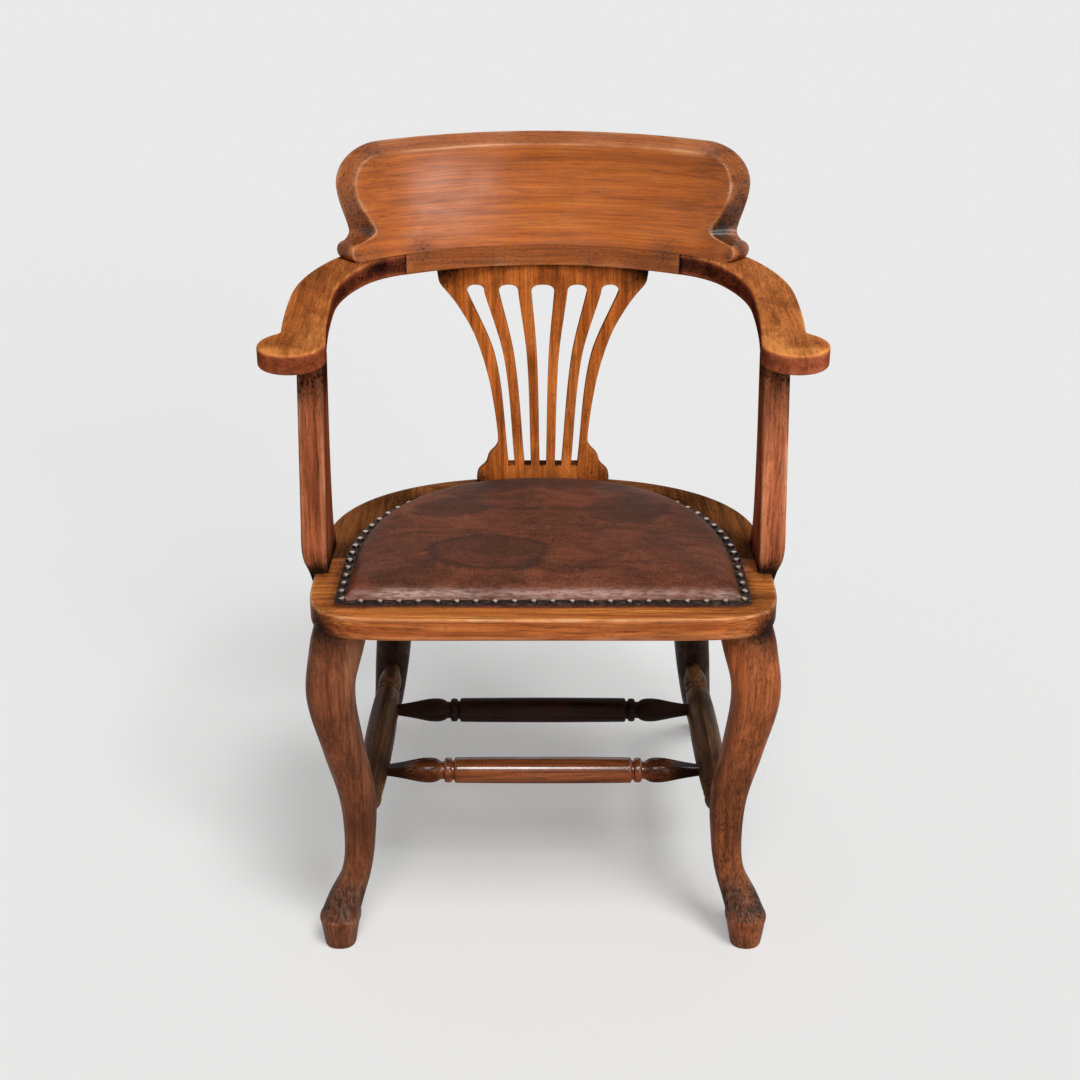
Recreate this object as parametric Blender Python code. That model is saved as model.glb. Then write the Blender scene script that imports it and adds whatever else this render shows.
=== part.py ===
"""Wooden office armchair: bow arms, eared crest, pierced splat, leather seat, cabriole legs, turned stretchers.

Metres, +Z up, floor at Z = 0, front towards -Y, centred on X = 0. Left is the left of the front view (-X).
"""

import math

import bmesh
import bpy
from mathutils import Vector

# Clearance between two pieces that meet.
FIT = 0.0003

# Seat frame: plan outline, board sizes and joints.
SEAT_HEIGHT = 0.437
RAIL_THICKNESS = 0.026
SEAT_CENTRE_Y = -0.060
SEAT_HALF_WIDTH = 0.256
SEAT_FRONT_REACH = 0.216
SEAT_BACK_REACH = 0.208
SEAT_FRONT_POWER = 8.0
SEAT_BACK_POWER = 2.3
OPENING_FRONT_POWER = 6.0
RAIL_SIDE_WIDTH = 0.070
RAIL_FRONT_WIDTH = 0.085
RAIL_BACK_WIDTH = 0.070
RAIL_TOP_ROUND = 0.006
RAIL_BOTTOM_ROUND = 0.004
FRONT_JOINT_ANGLE = math.radians(-13.0)
BACK_JOINT_ANGLE = math.radians(50.0)
REBATE_WIDTH = 0.014
SEAT_DOWEL_RADIUS = 0.0045
SEAT_DOWEL_LENGTH = 0.056
SEAT_DOWEL_HEIGHT = 0.0075
SEAT_DOWEL_SHARES = (0.42, 0.72)

# Seat stuffing, leather and nailed banding.
STRAP_WIDTH = 0.050
STRAP_THICKNESS = 0.0016
STRAP_SIDE_GAP = 0.060
STRAP_FRONT_GAP = 0.056
STRAP_BACK_GAP = 0.068
STRAP_FLAT_PAST = 0.002
STRAP_RAMP = 0.006
LONG_STRAPS = 4
CROSS_STRAPS = 3
HESSIAN_THICKNESS = 0.001
SHEET_MARGIN = 0.0015
COVER_SIDE_MARGIN = 0.0311
COVER_FRONT_MARGIN = 0.0300
COVER_BACK_GAP = 0.0027
COVER_CENTRE_Y = -0.140
COVER_FRONT_POWER = 24.0
COVER_BACK_POWER = 2.25
COVER_THICKNESS = 0.0018
CROWN = 0.021
CROWN_POWER = 5.0
PAD_EDGE = 0.003
BAND_WIDTH = 0.012
BAND_THICKNESS = 0.0016
BAND_SEAM_ANGLE = math.radians(60.0)
BAND_TRIM = 0.001
NAIL_RADIUS = 0.0044
NAIL_HEIGHT = 0.0030
NAIL_PITCH = 0.0205
CORNER_NAIL_INSET = 0.003

# Front legs: ankle axis inside the seat's edges, then rows of height, sweep to the corner and half width.
FRONT_LEG_SIDE_INSET = 0.0445
FRONT_LEG_FRONT_INSET = 0.0636
FRONT_LEG = (
    (0.000, 0.0262, 0.0178),
    (0.017, 0.0260, 0.0205),
    (0.040, 0.0250, 0.0232),
    (0.060, 0.0175, 0.0212),
    (0.085, 0.0066, 0.0172),
    (0.120, 0.0014, 0.0175),
    (0.182, 0.0012, 0.0203),
    (0.252, 0.0125, 0.0224),
    (0.330, 0.0222, 0.0262),
    (0.388, 0.0125, 0.0300),
    (0.411, 0.0080, 0.0290),
)

# Rear legs: rows of height, inset from the seat's side, distance behind its back edge and half width.
REAR_LEG = (
    (0.000, 0.0225, 0.1106, 0.0175),
    (0.040, 0.0310, 0.0890, 0.0185),
    (0.080, 0.0390, 0.0640, 0.0200),
    (0.165, 0.0510, 0.0120, 0.0225),
    (0.250, 0.0615, -0.0330, 0.0235),
    (0.340, 0.0710, -0.0690, 0.0250),
    (0.411, 0.0810, -0.0860, 0.0255),
)
LEG_TENON_RADIUS = 0.012
LEG_TENON_LENGTH = 0.018
LEG_SIDES = 12
LEG_ROUNDNESS = 3.2

# Turned stretchers: beads and tenons are set from the axes of what they join.
STRETCHER_HEIGHT = 0.165
SIDE_STRETCHER_INSET = 0.053
SIDE_FRONT_BEAD = 0.0456
SIDE_REAR_BEAD = 0.102
SIDE_FRONT_TENON_PAST = 0.0054
SIDE_REAR_TENON_PAST = 0.0
CROSS_FROM_BEAD = 0.0394
CROSS_SPACING = 0.1473
CROSS_BEAD = 0.0975
STRETCHER_RADIUS = 0.0155
SIDE_SWELL = 0.0030
CROSS_SWELL = 0.0008
BEAD_RADIUS = 0.0172
BEAD_WIDTH = 0.009
VASE_RADIUS = 0.0145
SIDE_FRONT_VASE = 0.036
SIDE_REAR_VASE = 0.066
CROSS_VASE = 0.052
STRETCHER_TENON_RADIUS = 0.0066
CROSS_TENON_SHORT = 0.003
TURNED_SIDES = 12

# Bow of arms and crest: inner edge as four arcs, back, corner, side and front, between two planes
# that rise to the back. Turns are the headings at which the back and corner arcs end.
ARM_INSET = 0.0152
BOW_BACK_Y = 0.198
BOW_BACK_RADIUS = 0.375
BOW_BACK_TURN = math.radians(28.0)
BOW_CORNER_TURN = math.radians(62.0)
BOW_SIDE_RADIUS = 0.225
BOW_FRONT_RADIUS = 1.25
BOW_TOP_FRONT = 0.698
BOW_TOP_FRONT_Y = -0.170
BOW_TOP_SLOPE = 0.082
BOW_UNDER_SLOPE = 0.070
ARM_THICKNESS = 0.022
ARM_WIDTH = 0.049
ARM_ROUND = 0.004
JOINT_RUN = 0.174
SCROLL_Y = -0.143
SCROLL_RADIUS = 0.0365
SCROLL_FILLET = 0.012

# Crest: heights above the top of the arms, outward lean, and how far each end runs along the bow.
# Runs are those of the toe, the neck and the ear, on the front face and on the longer back face.
CREST_HEIGHT = 0.1270
CREST_LEAN = 0.24
CREST_THICKNESS = 0.031
CREST_FOOT_THICKNESS = 0.033
CREST_DISH = 0.006
CREST_ROLL_HEIGHT = 0.0104
CREST_ROLL_DEPTH = 0.022
CREST_BACK_ROUND = 0.003
CREST_CREASE = 0.0006
CREST_FRONT_RUNS = (0.2457, 0.2087, 0.2272)
CREST_BACK_RUNS = (0.2457, 0.2272, 0.2357)
CREST_FRONT_CORNER = 0.034
CREST_BACK_CORNER = 0.058
TOE_HEIGHT = 0.019
TOE_ROUND = 0.010
NECK_HEIGHT = 0.031
EAR_HEIGHT = 0.080

# Splat: half outline as rows of height above the seat and half width, with five slots.
SPLAT_FOOT_INSET = 0.0245
SPLAT_SETBACK = 0.0049
SPLAT_THICKNESS = 0.014
SPLAT_OUTLINE = (
    (0.000, 0.0830),
    (0.008, 0.0842),
    (0.015, 0.0815),
    (0.0225, 0.0733),
    (0.034, 0.0685),
    (0.0425, 0.0600),
    (0.050, 0.0572),
    (0.075, 0.0594),
    (0.099, 0.0632),
    (0.123, 0.0680),
    (0.147, 0.0747),
    (0.171, 0.0833),
    (0.189, 0.0918),
    (0.207, 0.1032),
    (0.2194, 0.1121),
    (0.2302, 0.1216),
    (0.2374, 0.1282),
    (0.2434, 0.1315),
    (0.262, 0.1345),
)
SLOT_FOOT = 0.0235
SLOT_MIDDLE = 0.149
SLOT_TOP = 0.238
SLOT_CENTRES = (
    (-0.0400, -0.0545, -0.0850),
    (-0.0195, -0.0280, -0.0435),
    (0.0, 0.0, 0.0),
    (0.0195, 0.0280, 0.0435),
    (0.0400, 0.0545, 0.0850),
)
SLOT_HALF_WIDTHS = (
    (0.0040, 0.0056, 0.0110),
    (0.0041, 0.0080, 0.0123),
    (0.0041, 0.0073, 0.0145),
    (0.0041, 0.0080, 0.0123),
    (0.0040, 0.0056, 0.0110),
)
SLOT_ARCH = 0.009
SPLAT_TENON_THICKNESS = 0.007
SPLAT_TENON_LENGTH = 0.014
SPLAT_TOP_TENON_HALF = 0.105
SPLAT_FOOT_TENON_HALF = 0.060

# Arm supports: rows of height share, front and back edge from the scroll's centre, and outer face.
# Above the seat they lean inwards, by SUPPORT_LEAN at the top.
SUPPORT_NOTCH = 0.0150
SUPPORT_THICKNESS = 0.0285
SUPPORT_LEAN = 0.0075
SUPPORT_LEAN_FROM = 0.150
SUPPORT = (
    (0.000, -0.0150, 0.0720, -0.0145),
    (0.100, -0.0150, 0.0720, -0.0080),
    (0.150, -0.0148, 0.0670, -0.0025),
    (0.210, -0.0145, 0.0560, 0.0),
    (0.340, -0.0135, 0.0460, 0.0),
    (0.560, -0.0115, 0.0380, 0.0),
    (0.790, -0.0090, 0.0345, 0.0),
    (1.000, -0.0070, 0.0330, 0.0),
)
SUPPORT_TENON_INSET = 0.007
SUPPORT_TENON_LENGTH = 0.013

# Hidden fastenings of arms and supports.
ARM_DOWEL_RADIUS = 0.0045
ARM_DOWEL_LENGTH = 0.040
SCREW_RADIUS = 0.0022
SCREW_HEAD_RADIUS = 0.0044
SCREW_HEAD_LENGTH = 0.0032
CREST_SCREW_PLACES = ((0.208, 0.0135), (0.200, 0.025))
CREST_SCREW_LENGTH = 0.046
SUPPORT_SCREW_INSET = 0.018
SUPPORT_SCREW_LENGTH = 0.040
SUPPORT_SCREW_HEIGHT = 0.0185
PLUG_RADIUS = 0.0046
PLUG_LENGTH = 0.0045

# Worked out from the sizes above.
RAIL_BOTTOM = SEAT_HEIGHT - RAIL_THICKNESS
REBATE_DEPTH = 3 * FIT + 2 * STRAP_THICKNESS + HESSIAN_THICKNESS
SEAT_FRONT_Y = SEAT_CENTRE_Y - SEAT_FRONT_REACH
SEAT_BACK_Y = SEAT_CENTRE_Y + SEAT_BACK_REACH
SPLAT_FOOT_Y = SEAT_BACK_Y - SPLAT_FOOT_INSET
COVER_HALF_WIDTH = SEAT_HALF_WIDTH - COVER_SIDE_MARGIN
COVER_FRONT_REACH = COVER_CENTRE_Y - SEAT_FRONT_Y - COVER_FRONT_MARGIN
COVER_BACK_REACH = SPLAT_FOOT_Y - COVER_BACK_GAP - COVER_CENTRE_Y
FRONT_LEG_X = SEAT_HALF_WIDTH - FRONT_LEG_SIDE_INSET
FRONT_LEG_Y = SEAT_FRONT_Y + FRONT_LEG_FRONT_INSET
SIDE_STRETCHER_X = SEAT_HALF_WIDTH - SIDE_STRETCHER_INSET
CROSS_HALF = SIDE_STRETCHER_X - CROSS_BEAD
SUPPORT_INNER_X = SEAT_HALF_WIDTH - SUPPORT_NOTCH
BOW_HALF_WIDTH = SEAT_HALF_WIDTH - ARM_INSET
BOW_BACK_REACH = BOW_BACK_RADIUS * math.sin(BOW_BACK_TURN)
BOW_SIDE_REACH = BOW_SIDE_RADIUS * (1 - math.sin(BOW_CORNER_TURN))
BOW_CORNER_RADIUS = (BOW_HALF_WIDTH - BOW_BACK_REACH - BOW_SIDE_REACH) / (
    math.sin(BOW_CORNER_TURN) - math.sin(BOW_BACK_TURN)
)
BOW_ARCS = (
    (BOW_BACK_RADIUS, BOW_BACK_TURN),
    (BOW_CORNER_RADIUS, BOW_CORNER_TURN),
    (BOW_SIDE_RADIUS, math.pi / 2),
    (BOW_FRONT_RADIUS, math.pi),
)
BOW_UNDER_FRONT = BOW_TOP_FRONT - ARM_THICKNESS
BOW_BACK_UNDERSIDE = BOW_UNDER_FRONT + BOW_UNDER_SLOPE * (BOW_BACK_Y - BOW_TOP_FRONT_Y)
SPLAT_LEAN = (BOW_BACK_Y + SPLAT_SETBACK - SPLAT_FOOT_Y) / (BOW_BACK_UNDERSIDE - SEAT_HEIGHT)
SEAT_PLAN = (
    SEAT_HALF_WIDTH,
    SEAT_FRONT_REACH,
    SEAT_BACK_REACH,
    SEAT_FRONT_POWER,
    SEAT_BACK_POWER,
    SEAT_CENTRE_Y,
)
OPENING_PLAN = (
    SEAT_HALF_WIDTH - RAIL_SIDE_WIDTH,
    SEAT_FRONT_REACH - RAIL_FRONT_WIDTH,
    SEAT_BACK_REACH - RAIL_BACK_WIDTH,
    OPENING_FRONT_POWER,
    SEAT_BACK_POWER,
    SEAT_CENTRE_Y,
)


def clear_scene():
    for obj in list(bpy.data.objects):
        bpy.data.objects.remove(obj, do_unlink=True)


def make_material(name, colour, roughness, metallic=0.0):
    made = bpy.data.materials.new(name)
    made.use_nodes = True
    shader = made.node_tree.nodes["Principled BSDF"]
    shader.inputs["Base Color"].default_value = (*colour, 1.0)
    shader.inputs["Roughness"].default_value = roughness
    shader.inputs["Metallic"].default_value = metallic
    return made


def add_mesh(name, bm, paint, parent):
    bmesh.ops.recalc_face_normals(bm, faces=bm.faces)
    mesh = bpy.data.meshes.new(name)
    bm.to_mesh(mesh)
    bm.free()
    mesh.shade_smooth()
    mesh.set_sharp_from_angle(angle=math.radians(35))
    obj = bpy.data.objects.new(name, mesh)
    bpy.context.scene.collection.objects.link(obj)
    obj.parent = parent
    if paint is None:
        obj.hide_render = True
        obj.display_type = "WIRE"
    else:
        mesh.materials.append(paint)
    return obj


def loft(name, loops, paint, parent):
    """Closed solid through loops of equal length, with its first and last loop capped."""
    bm = bmesh.new()
    rings = [[bm.verts.new(point) for point in loop] for loop in loops]
    for low, high in zip(rings, rings[1:]):
        for i in range(len(low)):
            j = (i + 1) % len(low)
            bm.faces.new((low[i], low[j], high[j], high[i]))
    bm.faces.new(rings[0])
    bm.faces.new(rings[-1])
    return add_mesh(name, bm, paint, parent)


def circle(radius, height, sides):
    turns = [2 * math.pi * (i + 0.5) / sides for i in range(sides)]
    return [(radius * math.cos(t), radius * math.sin(t), height) for t in turns]


def turned(name, profile, start, end, paint, parent, sides=TURNED_SIDES):
    """Turning from rows of distance and radius, along the line from start towards end."""
    obj = loft(name, [circle(radius, at, sides) for at, radius in profile], paint, parent)
    axis = Vector(end) - Vector(start)
    obj.location = start
    obj.rotation_euler = axis.to_track_quat("Z", "Y").to_euler()
    return obj


def boolean(obj, other, operation="DIFFERENCE"):
    modifier = obj.modifiers.new(other.name, "BOOLEAN")
    modifier.operation = operation
    modifier.solver = "EXACT"
    modifier.object = other


def smooth_row(rows, at):
    """Values of the rows at a height, on a curve through them (first column is the height)."""
    last = len(rows) - 1
    k = max(i for i in range(last) if rows[i][0] <= at or i == 0)
    low, high = rows[k], rows[k + 1]
    span = high[0] - low[0]
    t = min(max((at - low[0]) / span, 0.0), 1.0)
    values = []
    for c in range(1, len(low)):
        before, after = rows[max(k - 1, 0)], rows[min(k + 2, last)]
        rise = high[c] - low[c]
        go_in = (high[c] - before[c]) / (high[0] - before[0]) * span if k else rise
        go_out = (after[c] - low[c]) / (after[0] - low[0]) * span if k < last - 1 else rise
        a = 2 * t**3 - 3 * t**2 + 1
        b = t**3 - 2 * t**2 + t
        d = t**3 - t**2
        values.append(a * low[c] + b * go_in + (1 - a) * high[c] + d * go_out)
    return values


def plan_point(plan, angle):
    half, front, back, front_power, back_power, centre_y = plan
    c, s = math.cos(angle), math.sin(angle)
    reach, power = (back, back_power) if s >= 0 else (front, front_power)
    r = (abs(c / half) ** power + abs(s / reach) ** power) ** (-1 / power)
    return Vector((r * c, centre_y + r * s, 0))


def ring_point(angle, from_opening):
    """Point of the seat frame on a ray from its centre, a distance outside the opening."""
    inner = plan_point(OPENING_PLAN, angle)
    return inner + (plan_point(SEAT_PLAN, angle) - inner).normalized() * from_opening


def steps(start, end, count):
    return [start + (end - start) * i / count for i in range(count + 1)]


def raised(point, z):
    return Vector((point.x, point.y, z))


def make_rail(name, start, end, count, paint, parent):
    loops = []
    for i, angle in enumerate(steps(start, end, count)):
        outer = plan_point(SEAT_PLAN, angle)
        inner = plan_point(OPENING_PLAN, angle)
        along = (inner - outer).normalized()
        width = (inner - outer).length
        ledge = width - REBATE_WIDTH
        across = Vector((along.y, -along.x, 0))
        shift = across * (FIT / 2) * {0: 1, count: -1}.get(i, 0)
        top, low = SEAT_HEIGHT, RAIL_BOTTOM
        section = (
            (RAIL_BOTTOM_ROUND, low),
            (0.0, low + RAIL_BOTTOM_ROUND),
            (0.0, top - RAIL_TOP_ROUND),
            (0.3 * RAIL_TOP_ROUND, top - 0.3 * RAIL_TOP_ROUND),
            (RAIL_TOP_ROUND, top),
            (ledge, top),
            (ledge, top - REBATE_DEPTH),
            (width, top - REBATE_DEPTH),
            (width, low),
        )
        loops.append([raised(outer + along * d + shift, z) for d, z in section])
    return loft(name, loops, paint, parent)


def make_seat_frame(wood, dowel_wood, parent):
    turn = math.pi
    spans = {
        "front_seat_rail": (-turn - FRONT_JOINT_ANGLE, FRONT_JOINT_ANGLE, 34),
        "right_seat_rail": (FRONT_JOINT_ANGLE, BACK_JOINT_ANGLE, 9),
        "back_seat_rail": (BACK_JOINT_ANGLE, turn - BACK_JOINT_ANGLE, 12),
        "left_seat_rail": (turn - BACK_JOINT_ANGLE, turn - FRONT_JOINT_ANGLE, 9),
    }
    rails = {name: make_rail(name, *span, wood, parent) for name, span in spans.items()}
    joints = (
        ("front_right", FRONT_JOINT_ANGLE, "front_seat_rail", "right_seat_rail"),
        ("back_right", BACK_JOINT_ANGLE, "right_seat_rail", "back_seat_rail"),
        ("back_left", turn - BACK_JOINT_ANGLE, "back_seat_rail", "left_seat_rail"),
        ("front_left", turn - FRONT_JOINT_ANGLE, "left_seat_rail", "front_seat_rail"),
    )
    height = RAIL_BOTTOM + SEAT_DOWEL_HEIGHT
    for place, angle, first, second in joints:
        inner, outer = plan_point(OPENING_PLAN, angle), plan_point(SEAT_PLAN, angle)
        across = (outer - inner).normalized().cross(Vector((0, 0, 1)))
        for letter, share in zip("ab", SEAT_DOWEL_SHARES):
            middle = raised(inner.lerp(outer, 1 - share), height)
            start = middle - across * SEAT_DOWEL_LENGTH / 2
            name = f"seat_dowel_{place}_{letter}"
            profile = ((0, SEAT_DOWEL_RADIUS), (SEAT_DOWEL_LENGTH, SEAT_DOWEL_RADIUS))
            turned(name, profile, start, middle, dowel_wood, parent, sides=10)
            wide = SEAT_DOWEL_RADIUS + FIT
            hole = ((-FIT, wide), (SEAT_DOWEL_LENGTH + FIT, wide))
            cutter = turned(f"cut_{name}", hole, start, middle, None, parent, sides=10)
            boolean(rails[first], cutter)
            boolean(rails[second], cutter)
    return rails


def edge_value(across, forward, along_x):
    """Where the rebate wall crosses a line at X = across, or at Y = across when along_x."""
    angles = steps(0, 2 * math.pi, 240)
    points = [ring_point(a, REBATE_WIDTH - SHEET_MARGIN) for a in angles]
    best = None
    for p, q in zip(points, points[1:]):
        a, b = (p.y, q.y) if along_x else (p.x, q.x)
        if (a - across) * (b - across) > 0 or a == b:
            continue
        t = (across - a) / (b - a)
        hit = p.lerp(q, t)
        value = hit.x if along_x else hit.y
        if best is None or (value > best) == forward:
            best = value
    return best


def make_strap(name, at, crossings, highs, along_x, paint, parent):
    floor = SEAT_HEIGHT - REBATE_DEPTH
    low = floor + FIT
    high = low + STRAP_THICKNESS + FIT
    edges = (at - STRAP_WIDTH / 2, at + STRAP_WIDTH / 2)
    flat = STRAP_WIDTH / 2 + STRAP_FLAT_PAST
    rows = []
    for place, is_high in zip(crossings, highs):
        z = high if is_high else low
        rows += [(place - flat, z), (place + flat, z)]
    rows = [(rows[0][0] - STRAP_RAMP, low)] + rows + [(rows[-1][0] + STRAP_RAMP, low)]
    stations = [[(edge_value(e, False, along_x), low) for e in edges]]
    stations += [[(place, z)] * 2 for place, z in rows]
    stations += [[(edge_value(e, True, along_x), low) for e in edges]]
    loops = []
    for (a, za), (b, zb) in stations:
        flat_loop = [(edges[0], a, za), (edges[1], b, zb)]
        flat_loop += [(edges[1], b, zb + STRAP_THICKNESS), (edges[0], a, za + STRAP_THICKNESS)]
        loops.append([(q, p, z) if along_x else (p, q, z) for p, q, z in flat_loop])
    loft(name, loops, paint, parent)


def make_webbing(paint, parent):
    half, front, back = OPENING_PLAN[:3]
    side = half - STRAP_SIDE_GAP
    columns = steps(-side, side, LONG_STRAPS - 1)
    first, last = STRAP_FRONT_GAP - front, back - STRAP_BACK_GAP
    rows = [SEAT_CENTRE_Y + y for y in steps(first, last, CROSS_STRAPS - 1)]
    for i, x in enumerate(columns):
        highs = [(i + j) % 2 == 0 for j in range(CROSS_STRAPS)]
        make_strap(f"webbing_long_{i + 1}", x, rows, highs, False, paint, parent)
    for j, y in enumerate(rows):
        highs = [(i + j) % 2 == 1 for i in range(LONG_STRAPS)]
        make_strap(f"webbing_cross_{j + 1}", y, columns, highs, True, paint, parent)


def make_hessian(paint, parent):
    angles = [2 * math.pi * i / 48 for i in range(48)]
    points = [ring_point(a, REBATE_WIDTH - SHEET_MARGIN) for a in angles]
    low = SEAT_HEIGHT - HESSIAN_THICKNESS
    loops = [[raised(p, z) for p in points] for z in (low, SEAT_HEIGHT)]
    loft("hessian_sheet", loops, paint, parent)


def cover_plan(inset):
    return (
        COVER_HALF_WIDTH - inset,
        COVER_FRONT_REACH - inset,
        COVER_BACK_REACH - inset,
        COVER_FRONT_POWER,
        COVER_BACK_POWER,
        COVER_CENTRE_Y,
    )


def cover_angles():
    """Angles round the cover from the middle of its front, closer together at the two corners."""
    corner = math.atan2(COVER_FRONT_REACH, COVER_HALF_WIDTH)
    near = [corner + d for d in (-0.14, -0.08, -0.045, -0.02, 0.0, 0.02, 0.045, 0.08, 0.14)]
    front = [math.pi / 2 - a for a in steps(0.0, math.pi / 2 - corner - 0.2, 3)]
    right = [-a for a in front + near[::-1]]
    right += steps(0.1 - near[0], math.pi / 2, 14)
    return right + [math.pi - a for a in right[-2:0:-1]]


def cover_loop(inset, share, z):
    apex = Vector((0, SEAT_CENTRE_Y, 0))
    plan = cover_plan(inset)
    return [raised(apex.lerp(plan_point(plan, a), share), z) for a in cover_angles()]


def make_seat_cover(hair, leather, parent):
    base = SEAT_HEIGHT + FIT
    inset = BAND_WIDTH + 0.004
    shares = (1.0, 0.985, 0.95, 0.88, 0.75, 0.55, 0.3, 0.08)

    def rise(share):
        return PAD_EDGE + CROWN * (1 - share**CROWN_POWER)

    loops = [cover_loop(inset, 1.0, base)]
    loops += [cover_loop(inset, s, base + rise(s)) for s in shares]
    loft("hair_pad", loops, hair, parent)
    under = [cover_loop(inset, s, base + rise(s) + 2 * FIT) for s in reversed(shares[1:])]
    gap = inset - 2 * FIT
    under += [cover_loop(gap, 1.0, base + PAD_EDGE), cover_loop(gap, 1.0, base)]
    rim = [cover_loop(0.0, 1.0, base), cover_loop(0.0, 1.0, base + COVER_THICKNESS)]
    wall = gap - COVER_THICKNESS
    rim += [cover_loop(wall, 1.0, base + COVER_THICKNESS)]
    rim += [cover_loop(wall, 1.0, base + PAD_EDGE + COVER_THICKNESS)]
    top = [cover_loop(inset, s, base + rise(s) + 2 * FIT + COVER_THICKNESS) for s in shares[1:]]
    loft("leather_cover", under + rim + top, leather, parent)


def nail_places():
    """Points on the middle line of the banding: those along the front, and those round the back."""
    plan = cover_plan(BAND_WIDTH / 2)
    half, reach, power, centre_y = plan[0], plan[1], plan[3], plan[5]
    end = half - CORNER_NAIL_INSET
    front = []
    for x in steps(-end, end, round(2 * end / NAIL_PITCH)):
        y = centre_y - reach * (1 - abs(x / half) ** power) ** (1 / power)
        front.append(Vector((x, y, 0)))
    corner = -band_angle(front[-1])
    line = [plan_point(plan, a) for a in steps(-corner, math.pi + corner, 400)]
    length = sum((b - a).length for a, b in zip(line, line[1:]))
    pieces = round(length / NAIL_PITCH)
    around, walked, wanted = [], 0.0, length / pieces
    for a, b in zip(line, line[1:]):
        walked += (b - a).length
        if walked >= wanted * (len(around) + 1) and len(around) < pieces - 1:
            around.append(b)
    return front, around


def band_angle(point):
    """Angle round the cover, from the right front corner over the back to the left one."""
    angle = math.atan2(point.y - COVER_CENTRE_Y, point.x)
    return angle if angle > -math.pi / 2 else angle + 2 * math.pi


def band_stations(start, end):
    turn = 2 * math.pi
    every = sorted(a + k * turn for a in cover_angles() for k in (-1, 0))
    return [start] + [a for a in every if start + 0.003 < a < end - 0.003] + [end]


def make_banding(paint, parent):
    base = SEAT_HEIGHT + 2 * FIT + COVER_THICKNESS
    bend = math.atan2(COVER_FRONT_REACH - BAND_WIDTH, COVER_HALF_WIDTH)
    front, around = nail_places()
    angles = [band_angle(point) for point in around]
    behind = next(i for i, angle in enumerate(angles) if angle > BAND_SEAM_ANGLE)
    seam = (angles[behind - 1] + angles[behind]) / 2
    spans = {
        "front_banding": (-math.pi + bend, -bend),
        "right_banding": (-bend, seam),
        "back_banding": (seam, math.pi - seam),
        "left_banding": (math.pi - seam, math.pi + bend),
    }
    outer_plan, inner_plan = cover_plan(FIT), cover_plan(BAND_WIDTH)
    for name, (start, end) in spans.items():
        loops = []
        for angle in band_stations(start + BAND_TRIM, end - BAND_TRIM):
            o, i = plan_point(outer_plan, angle), plan_point(inner_plan, angle)
            section = ((o, 0.0), (i, 0.0), (i, BAND_THICKNESS), (o, BAND_THICKNESS))
            loops.append([raised(p, base + z) for p, z in section])
        band = loft(name, loops, paint, parent)
        nails = front
        if name != "front_banding":
            nails = [p for p, angle in zip(around, angles) if start < angle < end]
        bm = bmesh.new()
        for point in nails:
            add_nail(bm, raised(point, base + BAND_THICKNESS / 2))
        heads = add_mesh(f"join_{name}_nails", bm, None, parent)
        boolean(band, heads, "UNION")


def add_nail(bm, foot):
    top = BAND_THICKNESS / 2 + NAIL_HEIGHT
    rows = ((0.0, 0.96), (BAND_THICKNESS / 2 + 0.0006, 1.0), (top, 0.5))
    rings = []
    for z, share in rows:
        loop = circle(NAIL_RADIUS * share, z, 6)
        rings.append([bm.verts.new(foot + Vector(p)) for p in loop])
    for low, high in zip(rings, rings[1:]):
        for i in range(6):
            j = (i + 1) % 6
            bm.faces.new((low[i], low[j], high[j], high[i]))
    bm.faces.new(rings[0])
    bm.faces.new(rings[-1])


def leg_section(centre_x, centre_y, half, z):
    points = []
    for i in range(LEG_SIDES):
        t = 2 * math.pi * (i + 0.5) / LEG_SIDES
        c, s = math.cos(t), math.sin(t)
        reach = half * (abs(c) ** LEG_ROUNDNESS + abs(s) ** LEG_ROUNDNESS) ** (-1 / LEG_ROUNDNESS)
        points.append((centre_x + reach * c, centre_y + reach * s, z))
    return points


def leg_centre(rows, side, share):
    """Centre and half width of a leg at a share of its height, for a front or a rear leg."""
    values = smooth_row(rows, share * rows[-1][0])
    if len(values) == 2:
        sweep, half = values
        return side * (FRONT_LEG_X + sweep), FRONT_LEG_Y - sweep, half
    inset, behind, half = values
    return side * (SEAT_HALF_WIDTH - inset), SEAT_BACK_Y + behind, half


def make_leg(name, rows, side, shares, rail, wood, parent):
    top = RAIL_BOTTOM - FIT
    loops = []
    for share in shares:
        x, y, half = leg_centre(rows, side, share)
        loops.append(leg_section(x, y, half, share * top))
    x, y, half = leg_centre(rows, side, 1.0)
    for z in (top, RAIL_BOTTOM + LEG_TENON_LENGTH):
        loops.append([(x + px, y + py, z) for px, py, _ in circle(LEG_TENON_RADIUS, 0, LEG_SIDES)])
    leg = loft(name, loops, wood, parent)
    start = (x, y, RAIL_BOTTOM - 0.004)
    wide = LEG_TENON_RADIUS + FIT
    hole = ((0, wide), (LEG_TENON_LENGTH + 0.004 + FIT, wide))
    cutter = turned(f"cut_{name}", hole, start, (x, y, SEAT_HEIGHT), None, parent, LEG_SIDES)
    boolean(rail, cutter)
    return leg


def make_legs(rails, wood, parent):
    front = (0, 0.041, 0.07, 0.1, 0.125, 0.15, 0.18, 0.21, 0.25, 0.3)
    front += (0.38, 0.46, 0.54, 0.62, 0.7, 0.78, 0.86, 0.93, 1.0)
    rear = (0, 0.06, 0.13, 0.2, 0.3, 0.4, 0.5, 0.6, 0.7, 0.8, 0.9, 1.0)
    legs = {}
    for word, side in (("left", -1), ("right", 1)):
        rail = rails["front_seat_rail"]
        name = f"front_{word}_leg"
        legs[name] = make_leg(name, FRONT_LEG, side, front, rail, wood, parent)
        name = f"rear_{word}_leg"
        rail = rails[f"{word}_seat_rail"]
        legs[name] = make_leg(name, REAR_LEG, side, rear, rail, wood, parent)
    return legs


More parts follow.
